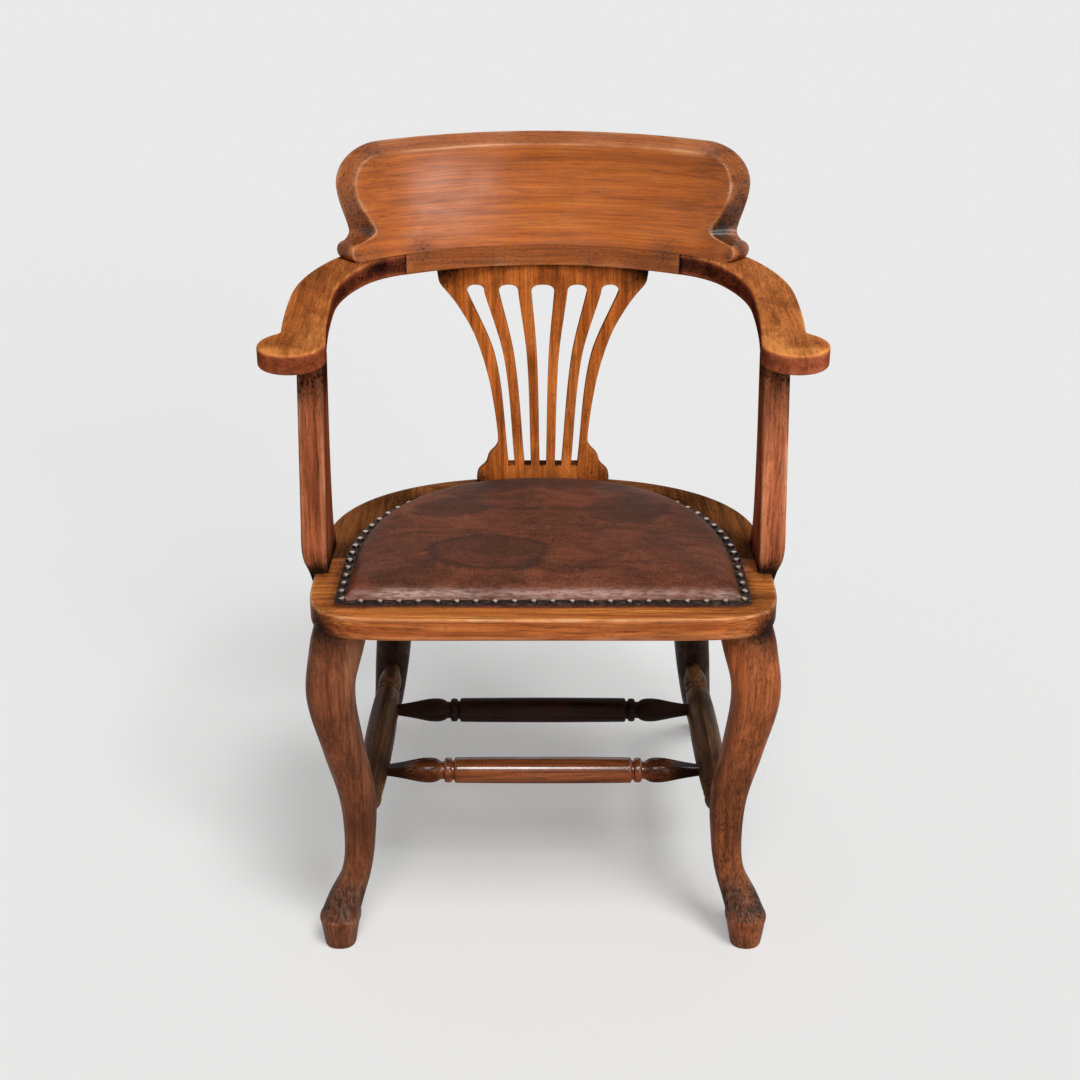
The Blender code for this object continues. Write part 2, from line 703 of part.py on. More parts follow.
def stretcher_half(half, tenon_end, vase, swell, grow=0.0):
    """Rows of distance from the middle and radius for one half of a turned stretcher."""
    bead = half + BEAD_WIDTH
    tenon = bead + vase
    rows = [
        (0.2 * half, STRETCHER_RADIUS + swell),
        (0.6 * half, STRETCHER_RADIUS + 0.6 * swell),
        (half, STRETCHER_RADIUS),
        (half + 0.2 * BEAD_WIDTH, BEAD_RADIUS),
        (half + 0.8 * BEAD_WIDTH, BEAD_RADIUS),
        (bead, 0.8 * VASE_RADIUS),
        (bead + 0.06 * vase, 0.95 * VASE_RADIUS),
        (bead + 0.25 * vase, VASE_RADIUS),
        (bead + 0.5 * vase, 0.8 * VASE_RADIUS),
        (bead + 0.75 * vase, 0.6 * VASE_RADIUS),
        (tenon, STRETCHER_TENON_RADIUS),
        (tenon_end + grow, STRETCHER_TENON_RADIUS),
    ]
    return [(at, radius + grow) for at, radius in rows]


def make_stretcher(name, middle, towards, half, ends, vases, swell, wood, parent):
    """Stretcher along an axis, with its two tenon ends given as distances from the middle."""
    made = []
    for title, paint, grow in ((name, wood, 0.0), (f"cut_{name}", None, FIT)):
        low = [(-at, r) for at, r in reversed(stretcher_half(half, ends[0], vases[0], swell, grow))]
        profile = low + stretcher_half(half, ends[1], vases[1], swell, grow)
        made.append(turned(title, profile, middle, towards, paint, parent))
    return made


def make_stretchers(legs, wood, parent):
    z = STRETCHER_HEIGHT
    share = z / (RAIL_BOTTOM - FIT)
    front_axis = leg_centre(FRONT_LEG, 1, share)[1]
    rear_axis = leg_centre(REAR_LEG, 1, share)[1]
    front_bead, rear_bead = front_axis + SIDE_FRONT_BEAD, rear_axis - SIDE_REAR_BEAD
    middle_y, half = (front_bead + rear_bead) / 2, (rear_bead - front_bead) / 2
    low = middle_y - front_axis + SIDE_FRONT_TENON_PAST
    high = rear_axis + SIDE_REAR_TENON_PAST - middle_y
    sides, vases = {}, (SIDE_FRONT_VASE, SIDE_REAR_VASE)
    for word, side in (("left", -1), ("right", 1)):
        x = side * SIDE_STRETCHER_X
        middle, towards = (x, middle_y, z), (x, middle_y + 1, z)
        name = f"{word}_stretcher"
        sides[word], cutter = make_stretcher(
            name, middle, towards, half, (low, high), vases, SIDE_SWELL, wood, parent
        )
        boolean(legs[f"front_{word}_leg"], cutter)
        boolean(legs[f"rear_{word}_leg"], cutter)
    end, vases = SIDE_STRETCHER_X - CROSS_TENON_SHORT, (CROSS_VASE, CROSS_VASE)
    cross_y = front_bead + CROSS_FROM_BEAD
    for word, y in (("front", cross_y), ("rear", cross_y + CROSS_SPACING)):
        name, middle, towards = f"{word}_cross_stretcher", (0, y, z), (1, y, z)
        _, cutter = make_stretcher(
            name, middle, towards, CROSS_HALF, (end, end), vases, CROSS_SWELL, wood, parent
        )
        boolean(sides["left"], cutter)
        boolean(sides["right"], cutter)


def bow_point(run, out):
    """Plan point of the bow at a run along its inner edge from the middle, and a distance outside it."""
    side = -1 if run < 0 else 1
    left = abs(run)
    x, y, heading = 0.0, BOW_BACK_Y, 0.0
    for radius, last in BOW_ARCS:
        turn = min(left / radius, last - heading)
        x += radius * (math.sin(heading + turn) - math.sin(heading))
        y += radius * (math.cos(heading + turn) - math.cos(heading))
        heading += turn
        left -= turn * radius
        if left <= 1e-9:
            break
    return Vector((side * (x + out * math.sin(heading)), y + out * math.cos(heading), 0))


def bow_widest():
    """Run at which the inner edge is widest, and its Y there."""
    run, heading = 0.0, 0.0
    for radius, last in BOW_ARCS[:-1]:
        run += radius * (last - heading)
        heading = last
    return run, bow_point(run, 0.0).y


def bow_top(y):
    return BOW_TOP_FRONT + BOW_TOP_SLOPE * (y - BOW_TOP_FRONT_Y)


def bow_under(y):
    return BOW_UNDER_FRONT + BOW_UNDER_SLOPE * (y - BOW_TOP_FRONT_Y)


def on_bow(point, share):
    """Point lifted to a share of the way from the underside of the bow to its top."""
    low, high = bow_under(point.y), bow_top(point.y)
    return Vector((point.x, point.y, low + share * (high - low)))


def arm_outline():
    """Plan outline of the right arm: inner edge, scroll, fillet and outer edge back to the joint."""
    widest_run, widest_y = bow_widest()
    sweep = math.asin((widest_y - SCROLL_Y) / BOW_FRONT_RADIUS)
    scroll_run = widest_run + BOW_FRONT_RADIUS * sweep
    centre = bow_point(scroll_run, SCROLL_RADIUS)
    to_scroll = BOW_FRONT_RADIUS + SCROLL_RADIUS
    to_fillet = BOW_FRONT_RADIUS + ARM_WIDTH + SCROLL_FILLET
    both = SCROLL_RADIUS + SCROLL_FILLET
    turn = math.acos((to_scroll**2 + to_fillet**2 - both**2) / (2 * to_scroll * to_fillet))
    fillet_run = scroll_run - BOW_FRONT_RADIUS * turn
    fillet = bow_point(fillet_run, ARM_WIDTH + SCROLL_FILLET)
    leave = math.atan2(fillet.y - centre.y, fillet.x - centre.x)
    begin = JOINT_RUN + FIT / 2
    inner = [bow_point(r, 0.0) for r in steps(begin, scroll_run, 16)[:-1]]
    outer = [bow_point(r, ARM_WIDTH) for r in steps(begin, fillet_run, 16)[:-1]]
    scroll = []
    for a in steps(math.pi - sweep, 2 * math.pi + leave, 16):
        scroll.append(centre + SCROLL_RADIUS * Vector((math.cos(a), math.sin(a), 0)))
    for a in steps(math.pi + leave, math.pi - sweep + turn, 4)[1:]:
        scroll.append(fillet + SCROLL_FILLET * Vector((math.cos(a), math.sin(a), 0)))
    return inner + scroll + outer[::-1]


def make_arms(wood, parent):
    arms = {}
    for word, side in (("left", -1), ("right", 1)):
        points = [Vector((side * p.x, p.y, 0)) for p in arm_outline()]
        loops = [[on_bow(p, share) for p in points] for share in (0.0, 1.0)]
        arm = loft(f"{word}_arm", loops, wood, parent)
        bevel = arm.modifiers.new("arris", "BEVEL")
        bevel.width = ARM_ROUND
        bevel.segments = 2
        bevel.limit_method = "ANGLE"
        bevel.angle_limit = math.radians(60)
        arms[word] = arm
    return arms


def ear_run(height, runs, top, corner):
    """How far a face of the crest runs along the bow at a height: toe, neck, ear, rounded corner."""
    toe, neck, ear = runs
    if height <= TOE_HEIGHT:
        bulge = math.sqrt(1 - (2 * height / TOE_HEIGHT - 1) ** 2)
        return toe - (1 - bulge) * TOE_ROUND
    if height <= NECK_HEIGHT:
        share = (height - TOE_HEIGHT) / (NECK_HEIGHT - TOE_HEIGHT)
        return neck + (toe - TOE_ROUND - neck) * (1 - share) ** 2
    if height <= EAR_HEIGHT:
        share = (height - NECK_HEIGHT) / (EAR_HEIGHT - NECK_HEIGHT)
        return neck + (ear - neck) * math.sin(share * math.pi / 2) ** 1.4
    rise = min((height - EAR_HEIGHT) / (top - EAR_HEIGHT), 1.0)
    return ear - corner * (1 - math.sqrt(1 - rise**2))


def crest_face(height, share):
    """Front offset of the crest: outward lean with a dished middle."""
    rise = height / CREST_HEIGHT
    dish = 4 * rise * (1 - rise) * (1 - abs(share) ** 6)
    return CREST_LEAN * height + CREST_DISH * dish


def crest_thick(height):
    neck = 1 - min(height / (1.3 * NECK_HEIGHT), 1.0)
    return CREST_THICKNESS + (CREST_FOOT_THICKNESS - CREST_THICKNESS) * neck**1.5


def crest_point(run, out):
    """Plan point on the back arc of the bow, carried on past the joints where the arms turn away."""
    turn = run / BOW_BACK_RADIUS
    reach = BOW_BACK_RADIUS + out
    return Vector((reach * math.sin(turn), BOW_BACK_Y - BOW_BACK_RADIUS + reach * math.cos(turn), 0))


def crest_loop(height, roll):
    """Closed plan loop of the crest at a height, its front rolled over to the back by a share."""
    front, back = [], []
    brow = CREST_HEIGHT - CREST_ROLL_HEIGHT
    back_run = ear_run(min(height, 0.985 * CREST_HEIGHT), CREST_BACK_RUNS, CREST_HEIGHT, CREST_BACK_CORNER)
    front_run = ear_run(min(height, brow), CREST_FRONT_RUNS, brow, CREST_FRONT_CORNER)
    front_run += (back_run - front_run) * roll
    for share in steps(-1.0, 1.0, 24):
        face = crest_face(height, share)
        back_out = face + crest_thick(height) - CREST_BACK_ROUND * roll**4
        ends = ((front, front_run, face + CREST_ROLL_DEPTH * roll), (back, back_run, back_out))
        for line, reach, out in ends:
            point = crest_point(share * reach, out)
            line.append(raised(point, bow_top(point.y) + FIT + height))
    return front + back[::-1]


def band_loop(level, lift):
    runs = steps(FIT / 2 - JOINT_RUN, JOINT_RUN - FIT / 2, 16)
    points = [bow_point(r, CREST_CREASE) for r in runs]
    points += [bow_point(r, ARM_WIDTH) for r in reversed(runs)]
    return [raised(point, level(point.y) + lift) for point in points]


def make_crest(wood, parent):
    low = (0.0, 0.05, 0.1, 0.14, 0.18, 0.24, 0.31, 0.4, 0.5, 0.6, 0.7, 0.8, 0.9, 0.96, 1.0)
    brow = CREST_HEIGHT - CREST_ROLL_HEIGHT
    loops = [crest_loop(share * brow, 0.0) for share in low]
    loops += [crest_loop(brow + roll * CREST_ROLL_HEIGHT, roll) for roll in (0.33, 0.67, 0.9, 1.0)]
    crest = loft("crest_rail", loops, wood, parent)
    band = [band_loop(bow_under, 0.0), band_loop(bow_top, FIT + 0.001)]
    boolean(crest, loft("join_crest_band", band, None, parent), "UNION")
    return crest


def splat_y(z):
    return SPLAT_FOOT_Y + SPLAT_LEAN * (z - SEAT_HEIGHT)


def lean_board(name, outline, depth_from, depth_to, paint, parent):
    """Board cut to an outline of (x, height), leaning back with the splat."""
    loops = []
    for depth in (depth_from, depth_to):
        loops.append([(x, splat_y(z) + depth, z) for x, z in outline])
    return loft(name, loops, paint, parent)


def slot_outline(centres, halves):
    heights = (SLOT_FOOT, SLOT_MIDDLE, SLOT_TOP - SLOT_ARCH)
    rows = list(zip(heights, centres, halves))
    left, right = [], []
    for height in steps(heights[0], heights[-1], 6):
        centre, half = smooth_row(rows, height)
        left.append((centre - half, SEAT_HEIGHT + height))
        right.append((centre + half, SEAT_HEIGHT + height))
    arch = []
    for a in steps(math.pi, 0, 6)[1:-1]:
        lift = SLOT_ARCH * math.sin(a)
        arch.append((centres[-1] + halves[-1] * math.cos(a), SEAT_HEIGHT + heights[-1] + lift))
    return left + arch + right[::-1]


def make_splat(back_rail, crest, wood, parent):
    low = SEAT_HEIGHT + FIT
    high = BOW_BACK_UNDERSIDE - FIT
    scale = (high - low) / SPLAT_OUTLINE[-1][0]
    half = [(width, low + height * scale) for height, width in SPLAT_OUTLINE]
    mid = (SPLAT_THICKNESS - SPLAT_TENON_THICKNESS) / 2
    splat = lean_board(
        "splat", half + [(-x, z) for x, z in reversed(half)], 0.0, SPLAT_THICKNESS, wood, parent
    )
    for index, shape in enumerate(zip(SLOT_CENTRES, SLOT_HALF_WIDTHS)):
        outline = slot_outline(*shape)
        cutter = lean_board(f"cut_slot_{index + 1}", outline, -0.01, 0.03, None, parent)
        boolean(splat, cutter)
    ends = (
        ("top", SPLAT_TOP_TENON_HALF, high - 0.002, high + SPLAT_TENON_LENGTH, crest),
        ("foot", SPLAT_FOOT_TENON_HALF, low - SPLAT_TENON_LENGTH, low + 0.002, back_rail),
    )
    for word, reach, bottom, top, other in ends:
        box = [(-reach, bottom), (reach, bottom), (reach, top), (-reach, top)]
        tenon = lean_board(f"join_splat_{word}", box, mid, mid + SPLAT_TENON_THICKNESS, None, parent)
        boolean(splat, tenon, "UNION")
        r, b, t = reach + FIT, bottom - FIT, top + FIT
        box = [(-r, b), (r, b), (r, t), (-r, t)]
        cutter = lean_board(
            f"cut_splat_{word}", box, mid - FIT, mid + SPLAT_TENON_THICKNESS + FIT, None, parent
        )
        boolean(other, cutter)


def box_loop(x_in, x_out, y_front, y_back, height_of):
    corners = ((x_in, y_front), (x_out, y_front), (x_out, y_back), (x_in, y_back))
    return [Vector((x, y, height_of(y))) for x, y in corners]


def support_lean(share):
    return SUPPORT_LEAN * max(0.0, share - SUPPORT_LEAN_FROM) / (1 - SUPPORT_LEAN_FROM)


def make_supports(rails, arms, wood, parent):
    supports = {}

    def under(y):
        return bow_under(y) - FIT

    for word, side in (("left", -1), ("right", 1)):
        loops = []
        for share, front, back, out in SUPPORT:
            inner = SUPPORT_INNER_X - support_lean(share)
            outer = inner + SUPPORT_THICKNESS + out
            rise = lambda y, share=share: RAIL_BOTTOM + share * (under(y) - RAIL_BOTTOM)
            ends = (SCROLL_Y + front, SCROLL_Y + back)
            loops.append(box_loop(side * inner, side * outer, *ends, rise))
        inset = SUPPORT_TENON_INSET
        tenon = (
            side * (inner + inset),
            side * (outer - inset),
            SCROLL_Y + SUPPORT[-1][1] + inset,
            SCROLL_Y + SUPPORT[-1][2] - inset,
        )
        loops.append(box_loop(*tenon, under))
        loops.append(box_loop(*tenon, lambda y: under(y) + SUPPORT_TENON_LENGTH))
        name = f"{word}_arm_support"
        supports[word] = loft(name, loops, wood, parent)
        wide = (tenon[0] - side * FIT, tenon[1] + side * FIT, tenon[2] - FIT, tenon[3] + FIT)
        hole = [
            box_loop(*wide, lambda y: under(y) - 0.004),
            box_loop(*wide, lambda y: under(y) + SUPPORT_TENON_LENGTH + FIT),
        ]
        boolean(arms[word], loft(f"cut_{name}_tenon", hole, None, parent))
        notch = (
            side * (SUPPORT_INNER_X - FIT),
            side * (SUPPORT_INNER_X + 0.08),
            SCROLL_Y + SUPPORT[0][1] - FIT,
            SCROLL_Y + SUPPORT[0][2] + FIT,
        )
        levels = (RAIL_BOTTOM - 0.01, SEAT_HEIGHT + 0.01)
        slot = [box_loop(*notch, lambda y, z=z: z) for z in levels]
        cutter = loft(f"cut_{name}_notch", slot, None, parent)
        boolean(rails["front_seat_rail"], cutter)
        boolean(rails[f"{word}_seat_rail"], cutter)
    return supports


def screw_rows(length, grow=0.0, lead=0.0):
    head, shank = SCREW_HEAD_RADIUS + grow, SCREW_RADIUS + grow
    rows = [(-lead, head)] if lead else []
    return rows + [(0.0, head), (SCREW_HEAD_LENGTH + grow, shank), (length + grow, shank)]


def make_fastenings(rails, arms, crest, supports, dowel_wood, wood, steel, parent):
    for word, side in (("left", -1), ("right", 1)):
        run = side * JOINT_RUN
        tangent = bow_point(run + side * 0.001, 0.0) - bow_point(run, 0.0)
        middle = on_bow(bow_point(run, ARM_WIDTH / 2), 0.5)
        start = middle - tangent.normalized() * ARM_DOWEL_LENGTH / 2
        rows = ((0, ARM_DOWEL_RADIUS), (ARM_DOWEL_LENGTH, ARM_DOWEL_RADIUS))
        turned(f"{word}_arm_dowel", rows, start, middle, dowel_wood, parent, sides=10)
        wide = ARM_DOWEL_RADIUS + FIT
        rows = ((-FIT, wide), (ARM_DOWEL_LENGTH + FIT, wide))
        cutter = turned(f"cut_{word}_arm_dowel", rows, start, middle, None, parent, sides=10)
        boolean(arms[word], cutter)
        boolean(crest, cutter)
        for letter, (place, out) in zip("ab", CREST_SCREW_PLACES):
            foot = crest_point(side * place, out)
            foot.z = bow_under(foot.y) + 0.0006
            name = f"{word}_crest_screw_{letter}"
            above = foot + Vector((0, 0, 1))
            turned(name, screw_rows(CREST_SCREW_LENGTH), foot, above, steel, parent, sides=8)
            hole = screw_rows(CREST_SCREW_LENGTH, FIT, 0.006)
            cutter = turned(f"cut_{name}", hole, foot, above, None, parent, sides=8)
            boolean(arms[word], cutter)
            boolean(crest, cutter)
        outer = SUPPORT_INNER_X + SUPPORT_THICKNESS + SUPPORT[0][3]
        front_end = SCROLL_Y + SUPPORT[0][1] + SUPPORT_SCREW_INSET
        back_end = SCROLL_Y + SUPPORT[0][2] - SUPPORT_SCREW_INSET
        places = zip("ab", (front_end, back_end), ("front_seat_rail", f"{word}_seat_rail"))
        for letter, y, rail in places:
            z = RAIL_BOTTOM + SUPPORT_SCREW_HEIGHT
            head = Vector((side * (outer - PLUG_LENGTH - FIT), y, z))
            inwards = head - Vector((side, 0, 0))
            name = f"{word}_support_screw_{letter}"
            turned(name, screw_rows(SUPPORT_SCREW_LENGTH), head, inwards, steel, parent, sides=8)
            hole = screw_rows(SUPPORT_SCREW_LENGTH, FIT)
            cutter = turned(f"cut_{name}", hole, head, inwards, None, parent, sides=8)
            boolean(supports[word], cutter)
            boolean(rails[rail], cutter)
            rows = ((FIT, PLUG_RADIUS), (PLUG_LENGTH, PLUG_RADIUS))
            outwards = head + Vector((side, 0, 0))
            plug = f"{word}_support_plug_{letter}"
            turned(plug, rows, head, outwards, wood, parent, sides=10)
            rows = ((-FIT, PLUG_RADIUS + FIT), (0.03, PLUG_RADIUS + FIT))
            cutter = turned(f"cut_{plug}", rows, head, outwards, None, parent, sides=10)
            boolean(supports[word], cutter)


def main():
    clear_scene()
    chair = bpy.data.objects.new("chair", None)
    bpy.context.scene.collection.objects.link(chair)
    oak = make_material("oak", (0.34, 0.145, 0.045), 0.42)
    pale = make_material("beech", (0.55, 0.38, 0.22), 0.6)
    jute = make_material("jute", (0.42, 0.32, 0.2), 0.9)
    hessian = make_material("hessian", (0.36, 0.27, 0.17), 0.95)
    hair = make_material("hair", (0.06, 0.045, 0.035), 0.95)
    leather = make_material("leather", (0.075, 0.03, 0.018), 0.45)
    banding = make_material("banding", (0.03, 0.015, 0.01), 0.5)
    steel = make_material("steel", (0.5, 0.5, 0.5), 0.35, 1.0)
    rails = make_seat_frame(oak, pale, chair)
    make_webbing(jute, chair)
    make_hessian(hessian, chair)
    make_seat_cover(hair, leather, chair)
    make_banding(banding, chair)
    legs = make_legs(rails, oak, chair)
    make_stretchers(legs, oak, chair)
    arms = make_arms(oak, chair)
    crest = make_crest(oak, chair)
    make_splat(rails["back_seat_rail"], crest, oak, chair)
    supports = make_supports(rails, arms, oak, chair)
    make_fastenings(rails, arms, crest, supports, pale, oak, steel, chair)


main()
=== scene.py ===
import math

import bmesh
import bpy
import numpy as np
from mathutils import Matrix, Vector


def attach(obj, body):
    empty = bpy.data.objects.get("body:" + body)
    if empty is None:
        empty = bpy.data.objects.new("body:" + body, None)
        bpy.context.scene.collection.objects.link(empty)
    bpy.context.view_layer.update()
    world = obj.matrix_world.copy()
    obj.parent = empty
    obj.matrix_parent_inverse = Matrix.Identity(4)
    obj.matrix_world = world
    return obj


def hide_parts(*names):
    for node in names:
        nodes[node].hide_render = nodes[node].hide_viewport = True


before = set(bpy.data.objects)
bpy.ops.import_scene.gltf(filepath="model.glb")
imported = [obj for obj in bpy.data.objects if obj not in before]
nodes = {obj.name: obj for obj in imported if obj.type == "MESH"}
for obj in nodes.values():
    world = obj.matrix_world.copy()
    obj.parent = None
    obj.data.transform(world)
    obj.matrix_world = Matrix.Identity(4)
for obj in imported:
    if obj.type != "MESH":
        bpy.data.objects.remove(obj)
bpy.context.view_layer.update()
fit = 0.0003  # gap that touching pieces keep
sides = (("left", -1), ("right", 1))
print("frame loaded:", len(nodes), "nodes")


# Node helpers; those that work something out give back the socket or sockets with the result
def addNode(tree, kind, inputs=None, **settings):
    made = tree.nodes.new(kind)
    for key, value in settings.items():
        setattr(made, key, value)
    for key, value in (inputs or {}).items():
        if isinstance(value, bpy.types.NodeSocket):
            tree.links.new(value, made.inputs[key])
        else:
            made.inputs[key].default_value = value
    return made


def maths(tree, operation, first, *others, clamp=False):
    # One Math node for each further value, joined from left to right
    for other in others or (0.0,):
        inputs = {0: first, 1: other}
        first = addNode(tree, "ShaderNodeMath", inputs, operation=operation, use_clamp=clamp).outputs[0]
    return first


def times(tree, *values, clamp=False):
    return maths(tree, "MULTIPLY", *values, clamp=clamp)


def plus(tree, *values):
    return maths(tree, "ADD", *values)


def vectors(tree, operation, first, second):
    return addNode(tree, "ShaderNodeVectorMath", {0: first, 1: second}, operation=operation).outputs


def axes(tree, vector):
    return addNode(tree, "ShaderNodeSeparateXYZ", {0: vector}).outputs


def spread(tree, value, low, high, toLow=0.0, toHigh=1.0):
    inputs = {"Value": value, "From Min": low, "From Max": high, "To Min": toLow, "To Max": toHigh}
    return addNode(tree, "ShaderNodeMapRange", inputs, interpolation_type="SMOOTHSTEP").outputs[0]


def blendColour(tree, factor, first, second, way="MIX"):
    inputs = {0: factor, 6: first, 7: second}
    return addNode(tree, "ShaderNodeMix", inputs, data_type="RGBA", blend_type=way).outputs[2]


def greyOf(tree, value):
    return addNode(tree, "ShaderNodeCombineColor", {0: value, 1: value, 2: value}).outputs[0]


def noise(tree, vector, scale, detail=3.0, rough=0.5, warp=0.0):
    inputs = {"Vector": vector, "Scale": scale, "Detail": detail, "Roughness": rough, "Distortion": warp}
    return addNode(tree, "ShaderNodeTexNoise", inputs).outputs[0]


def stretched(tree, vector, scale, shift=(0, 0, 0)):
    return addNode(tree, "ShaderNodeMapping", {"Vector": vector, "Scale": scale, "Location": shift}).outputs[0]


def objectPlace(tree):
    return addNode(tree, "ShaderNodeTexCoord").outputs["Object"]


def attribute(tree, word):
    return addNode(tree, "ShaderNodeAttribute", attribute_name=word, attribute_type="GEOMETRY").outputs["Fac"]


def join(tree, sockets, places):
    # Links each socket to the place of the same name
    for word, socket in sockets.items():
        tree.links.new(socket, places[word])


def startGroup(name, inputs, outputs):
    # New shader group: inputs are (name, kind, start value), outputs (name, kind)
    tree = bpy.data.node_groups.new(name, "ShaderNodeTree")
    for word, kind, value in inputs:
        socket = tree.interface.new_socket(word, in_out="INPUT", socket_type="NodeSocket" + kind)
        if value is not None:
            socket.default_value = value
    for word, kind in outputs:
        tree.interface.new_socket(word, in_out="OUTPUT", socket_type="NodeSocket" + kind)
    return tree, tree.nodes.new("NodeGroupInput").outputs, tree.nodes.new("NodeGroupOutput").inputs


def placeGroup(tree, group, inputs):
    return addNode(tree, "ShaderNodeGroup", inputs, node_tree=group).outputs


def startMaterial(name):
    finish = bpy.data.materials.new(name)
    finish.use_nodes = True
    tree = finish.node_tree
    return finish, tree, tree.nodes["Principled BSDF"]


def dressShader(tree, shader, colour, rough, height, strength, distance):
    # Colour, roughness and a bump of the given height
    bump = addNode(tree, "ShaderNodeBump", {"Strength": strength, "Distance": distance, "Height": height})
    join(tree, {"Base Color": colour, "Roughness": rough, "Normal": bump.outputs[0]}, shader.inputs)


# Camera and light
photo = dict(size=1080, focal=1600, sensor=36, place=(-0.0036, -1.7888, 1.1736), pitch=23.1)
lightPlan = dict(
    world=0.19, backdrop=0.807, floorSeen=0.76, floorGlow=0.22, floorBounce=0.40, floorHalf=14.0,
    suns=(  # name, direction the light comes from, angle across, strength
        ("topSun", (0.24, -0.38, 0.89), 22, 1.35),
        ("frontSun", (0.50, -0.82, 0.26), 30, 1.10),
        ("fillSun", (-0.07, -0.66, 0.75), 16, 0.50),
    ),
)


def makeCamera():
    lens = bpy.data.cameras.new("camera")
    lens.sensor_width = photo["sensor"]
    lens.lens = photo["sensor"] * photo["focal"] / photo["size"]
    camera = bpy.data.objects.new("camera", lens)
    camera.location = photo["place"]
    camera.rotation_euler = (math.radians(90 - photo["pitch"]), 0, 0)
    bpy.context.scene.collection.objects.link(camera)
    bpy.context.scene.camera = camera


def eyeMask(tree):
    # 1 for what is seen straight, in gloss or through glass, 0 for light that bounces on
    path = addNode(tree, "ShaderNodeLightPath").outputs
    return maths(tree, "MAXIMUM", path["Is Camera Ray"], path["Is Glossy Ray"], path["Is Transmission Ray"])


def evenGrey(level):
    return (level, level, level, 1)


def makeLight():
    scene = bpy.context.scene
    scene.view_settings.view_transform = "Standard"
    world = bpy.data.worlds.new("studio")
    scene.world = world
    world.use_nodes = True
    tree = world.node_tree
    tree.nodes.clear()
    soft = addNode(tree, "ShaderNodeBackground", {"Color": evenGrey(1), "Strength": lightPlan["world"]})
    wall = addNode(tree, "ShaderNodeBackground", {"Color": evenGrey(lightPlan["backdrop"]), "Strength": 1.0})
    both = addNode(tree, "ShaderNodeMixShader", {0: eyeMask(tree), 1: soft.outputs[0], 2: wall.outputs[0]})
    addNode(tree, "ShaderNodeOutputWorld", {"Surface": both.outputs[0]})
    for name, way, angle, strength in lightPlan["suns"]:
        lamp = bpy.data.lights.new(name, "SUN")
        lamp.angle = math.radians(angle)
        lamp.energy = strength
        obj = bpy.data.objects.new(name, lamp)
        obj.rotation_euler = Vector(way).to_track_quat("Z", "Y").to_euler()
        scene.collection.objects.link(obj)


def makeFloor():
    # Flat square under the feet: as pale as the backdrop to the eye and to gloss, greyer in what it throws back
    half = lightPlan["floorHalf"]
    mesh = bpy.data.meshes.new("floor")
    corners = [(x * half, y * half, -fit) for x, y in ((-1, -1), (1, -1), (1, 1), (-1, 1))]
    mesh.from_pydata(corners, [], [(0, 1, 2, 3)])
    finish = bpy.data.materials.new("paleFloor")
    finish.use_nodes = True
    tree = finish.node_tree
    tree.nodes.clear()
    pale = addNode(tree, "ShaderNodeBsdfDiffuse", {"Color": evenGrey(lightPlan["floorSeen"])})
    grey = addNode(tree, "ShaderNodeBsdfDiffuse", {"Color": evenGrey(lightPlan["floorBounce"])})
    lit = addNode(tree, "ShaderNodeEmission", {"Color": evenGrey(1), "Strength": lightPlan["floorGlow"]})
    pale = addNode(tree, "ShaderNodeAddShader", {0: pale.outputs[0], 1: lit.outputs[0]})
    both = addNode(tree, "ShaderNodeMixShader", {0: eyeMask(tree), 1: grey.outputs[0], 2: pale.outputs[0]})
    addNode(tree, "ShaderNodeOutputMaterial", {"Surface": both.outputs[0]})
    mesh.materials.append(finish)
    floor = bpy.data.objects.new("floor", mesh)
    bpy.context.scene.collection.objects.link(floor)


makeCamera()
makeLight()
makeFloor()
print("camera and light set")


# Surfaces as whole arrays
def rowCurve(rows, at):
    # Cubic through rows of (place, values...); the slope at a row is taken across its two neighbours
    rows, at = np.asarray(rows, float), np.asarray(at, float)
    place, values = rows[:, 0], rows[:, 1:]
    slope = np.empty_like(values)
    slope[1:-1] = (values[2:] - values[:-2]) / (place[2:] - place[:-2])[:, None]
    slope[0] = (values[1] - values[0]) / (place[1] - place[0])
    slope[-1] = (values[-1] - values[-2]) / (place[-1] - place[-2])
    k = np.clip(np.searchsorted(place, at, "right") - 1, 0, len(place) - 2)
    span = (place[k + 1] - place[k])[..., None]
    t = np.clip((at - place[k])[..., None] / span, 0, 1)
    low = 2 * t**3 - 3 * t**2 + 1
    bend = (t**3 - 2 * t**2 + t) * slope[k] + (t**3 - t**2) * slope[k + 1]
    return low * values[k] + (1 - low) * values[k + 1] + span * bend


def smoothStep(value, low, high):
    t = np.clip((value - low) / (high - low), 0, 1)
    return t * t * (3 - 2 * t)


def softSpot(points, centre, reach):
    # exp(-d^2), with d the distance to a centre in shares of the reach, mirrored left to right
    away = np.concatenate([np.abs(points[:, :1]), points[:, 1:]], 1) - centre
    return np.exp(-((away / reach) ** 2).sum(1))


def softBand(value, middle, reach):
    return np.exp(-(((value - middle) / reach) ** 2))


def lifted(flat, height):
    # Flat points with a height as their third coordinate
    return np.concatenate([flat, np.broadcast_to(height, flat.shape[:-1])[..., None]], -1)


def closeToEnds(marks, middle):
    # Shares from 0 to 1, with the given distances repeated at both ends and even steps between
    marks = np.asarray(marks, float)
    return np.concatenate([marks, np.linspace(marks[-1], 1 - marks[-1], middle + 2)[1:-1], (1 - marks)[::-1]])


def gridFaces(rows, cols, around=False):
    # Quads between neighbouring rows and columns of a grid
    i, j = np.meshgrid(np.arange(rows - 1), np.arange(cols if around else cols - 1), indexing="ij")
    k = (j + 1) % cols
    return np.stack([i * cols + j, i * cols + k, (i + 1) * cols + k, (i + 1) * cols + j], -1).reshape(-1, 4)


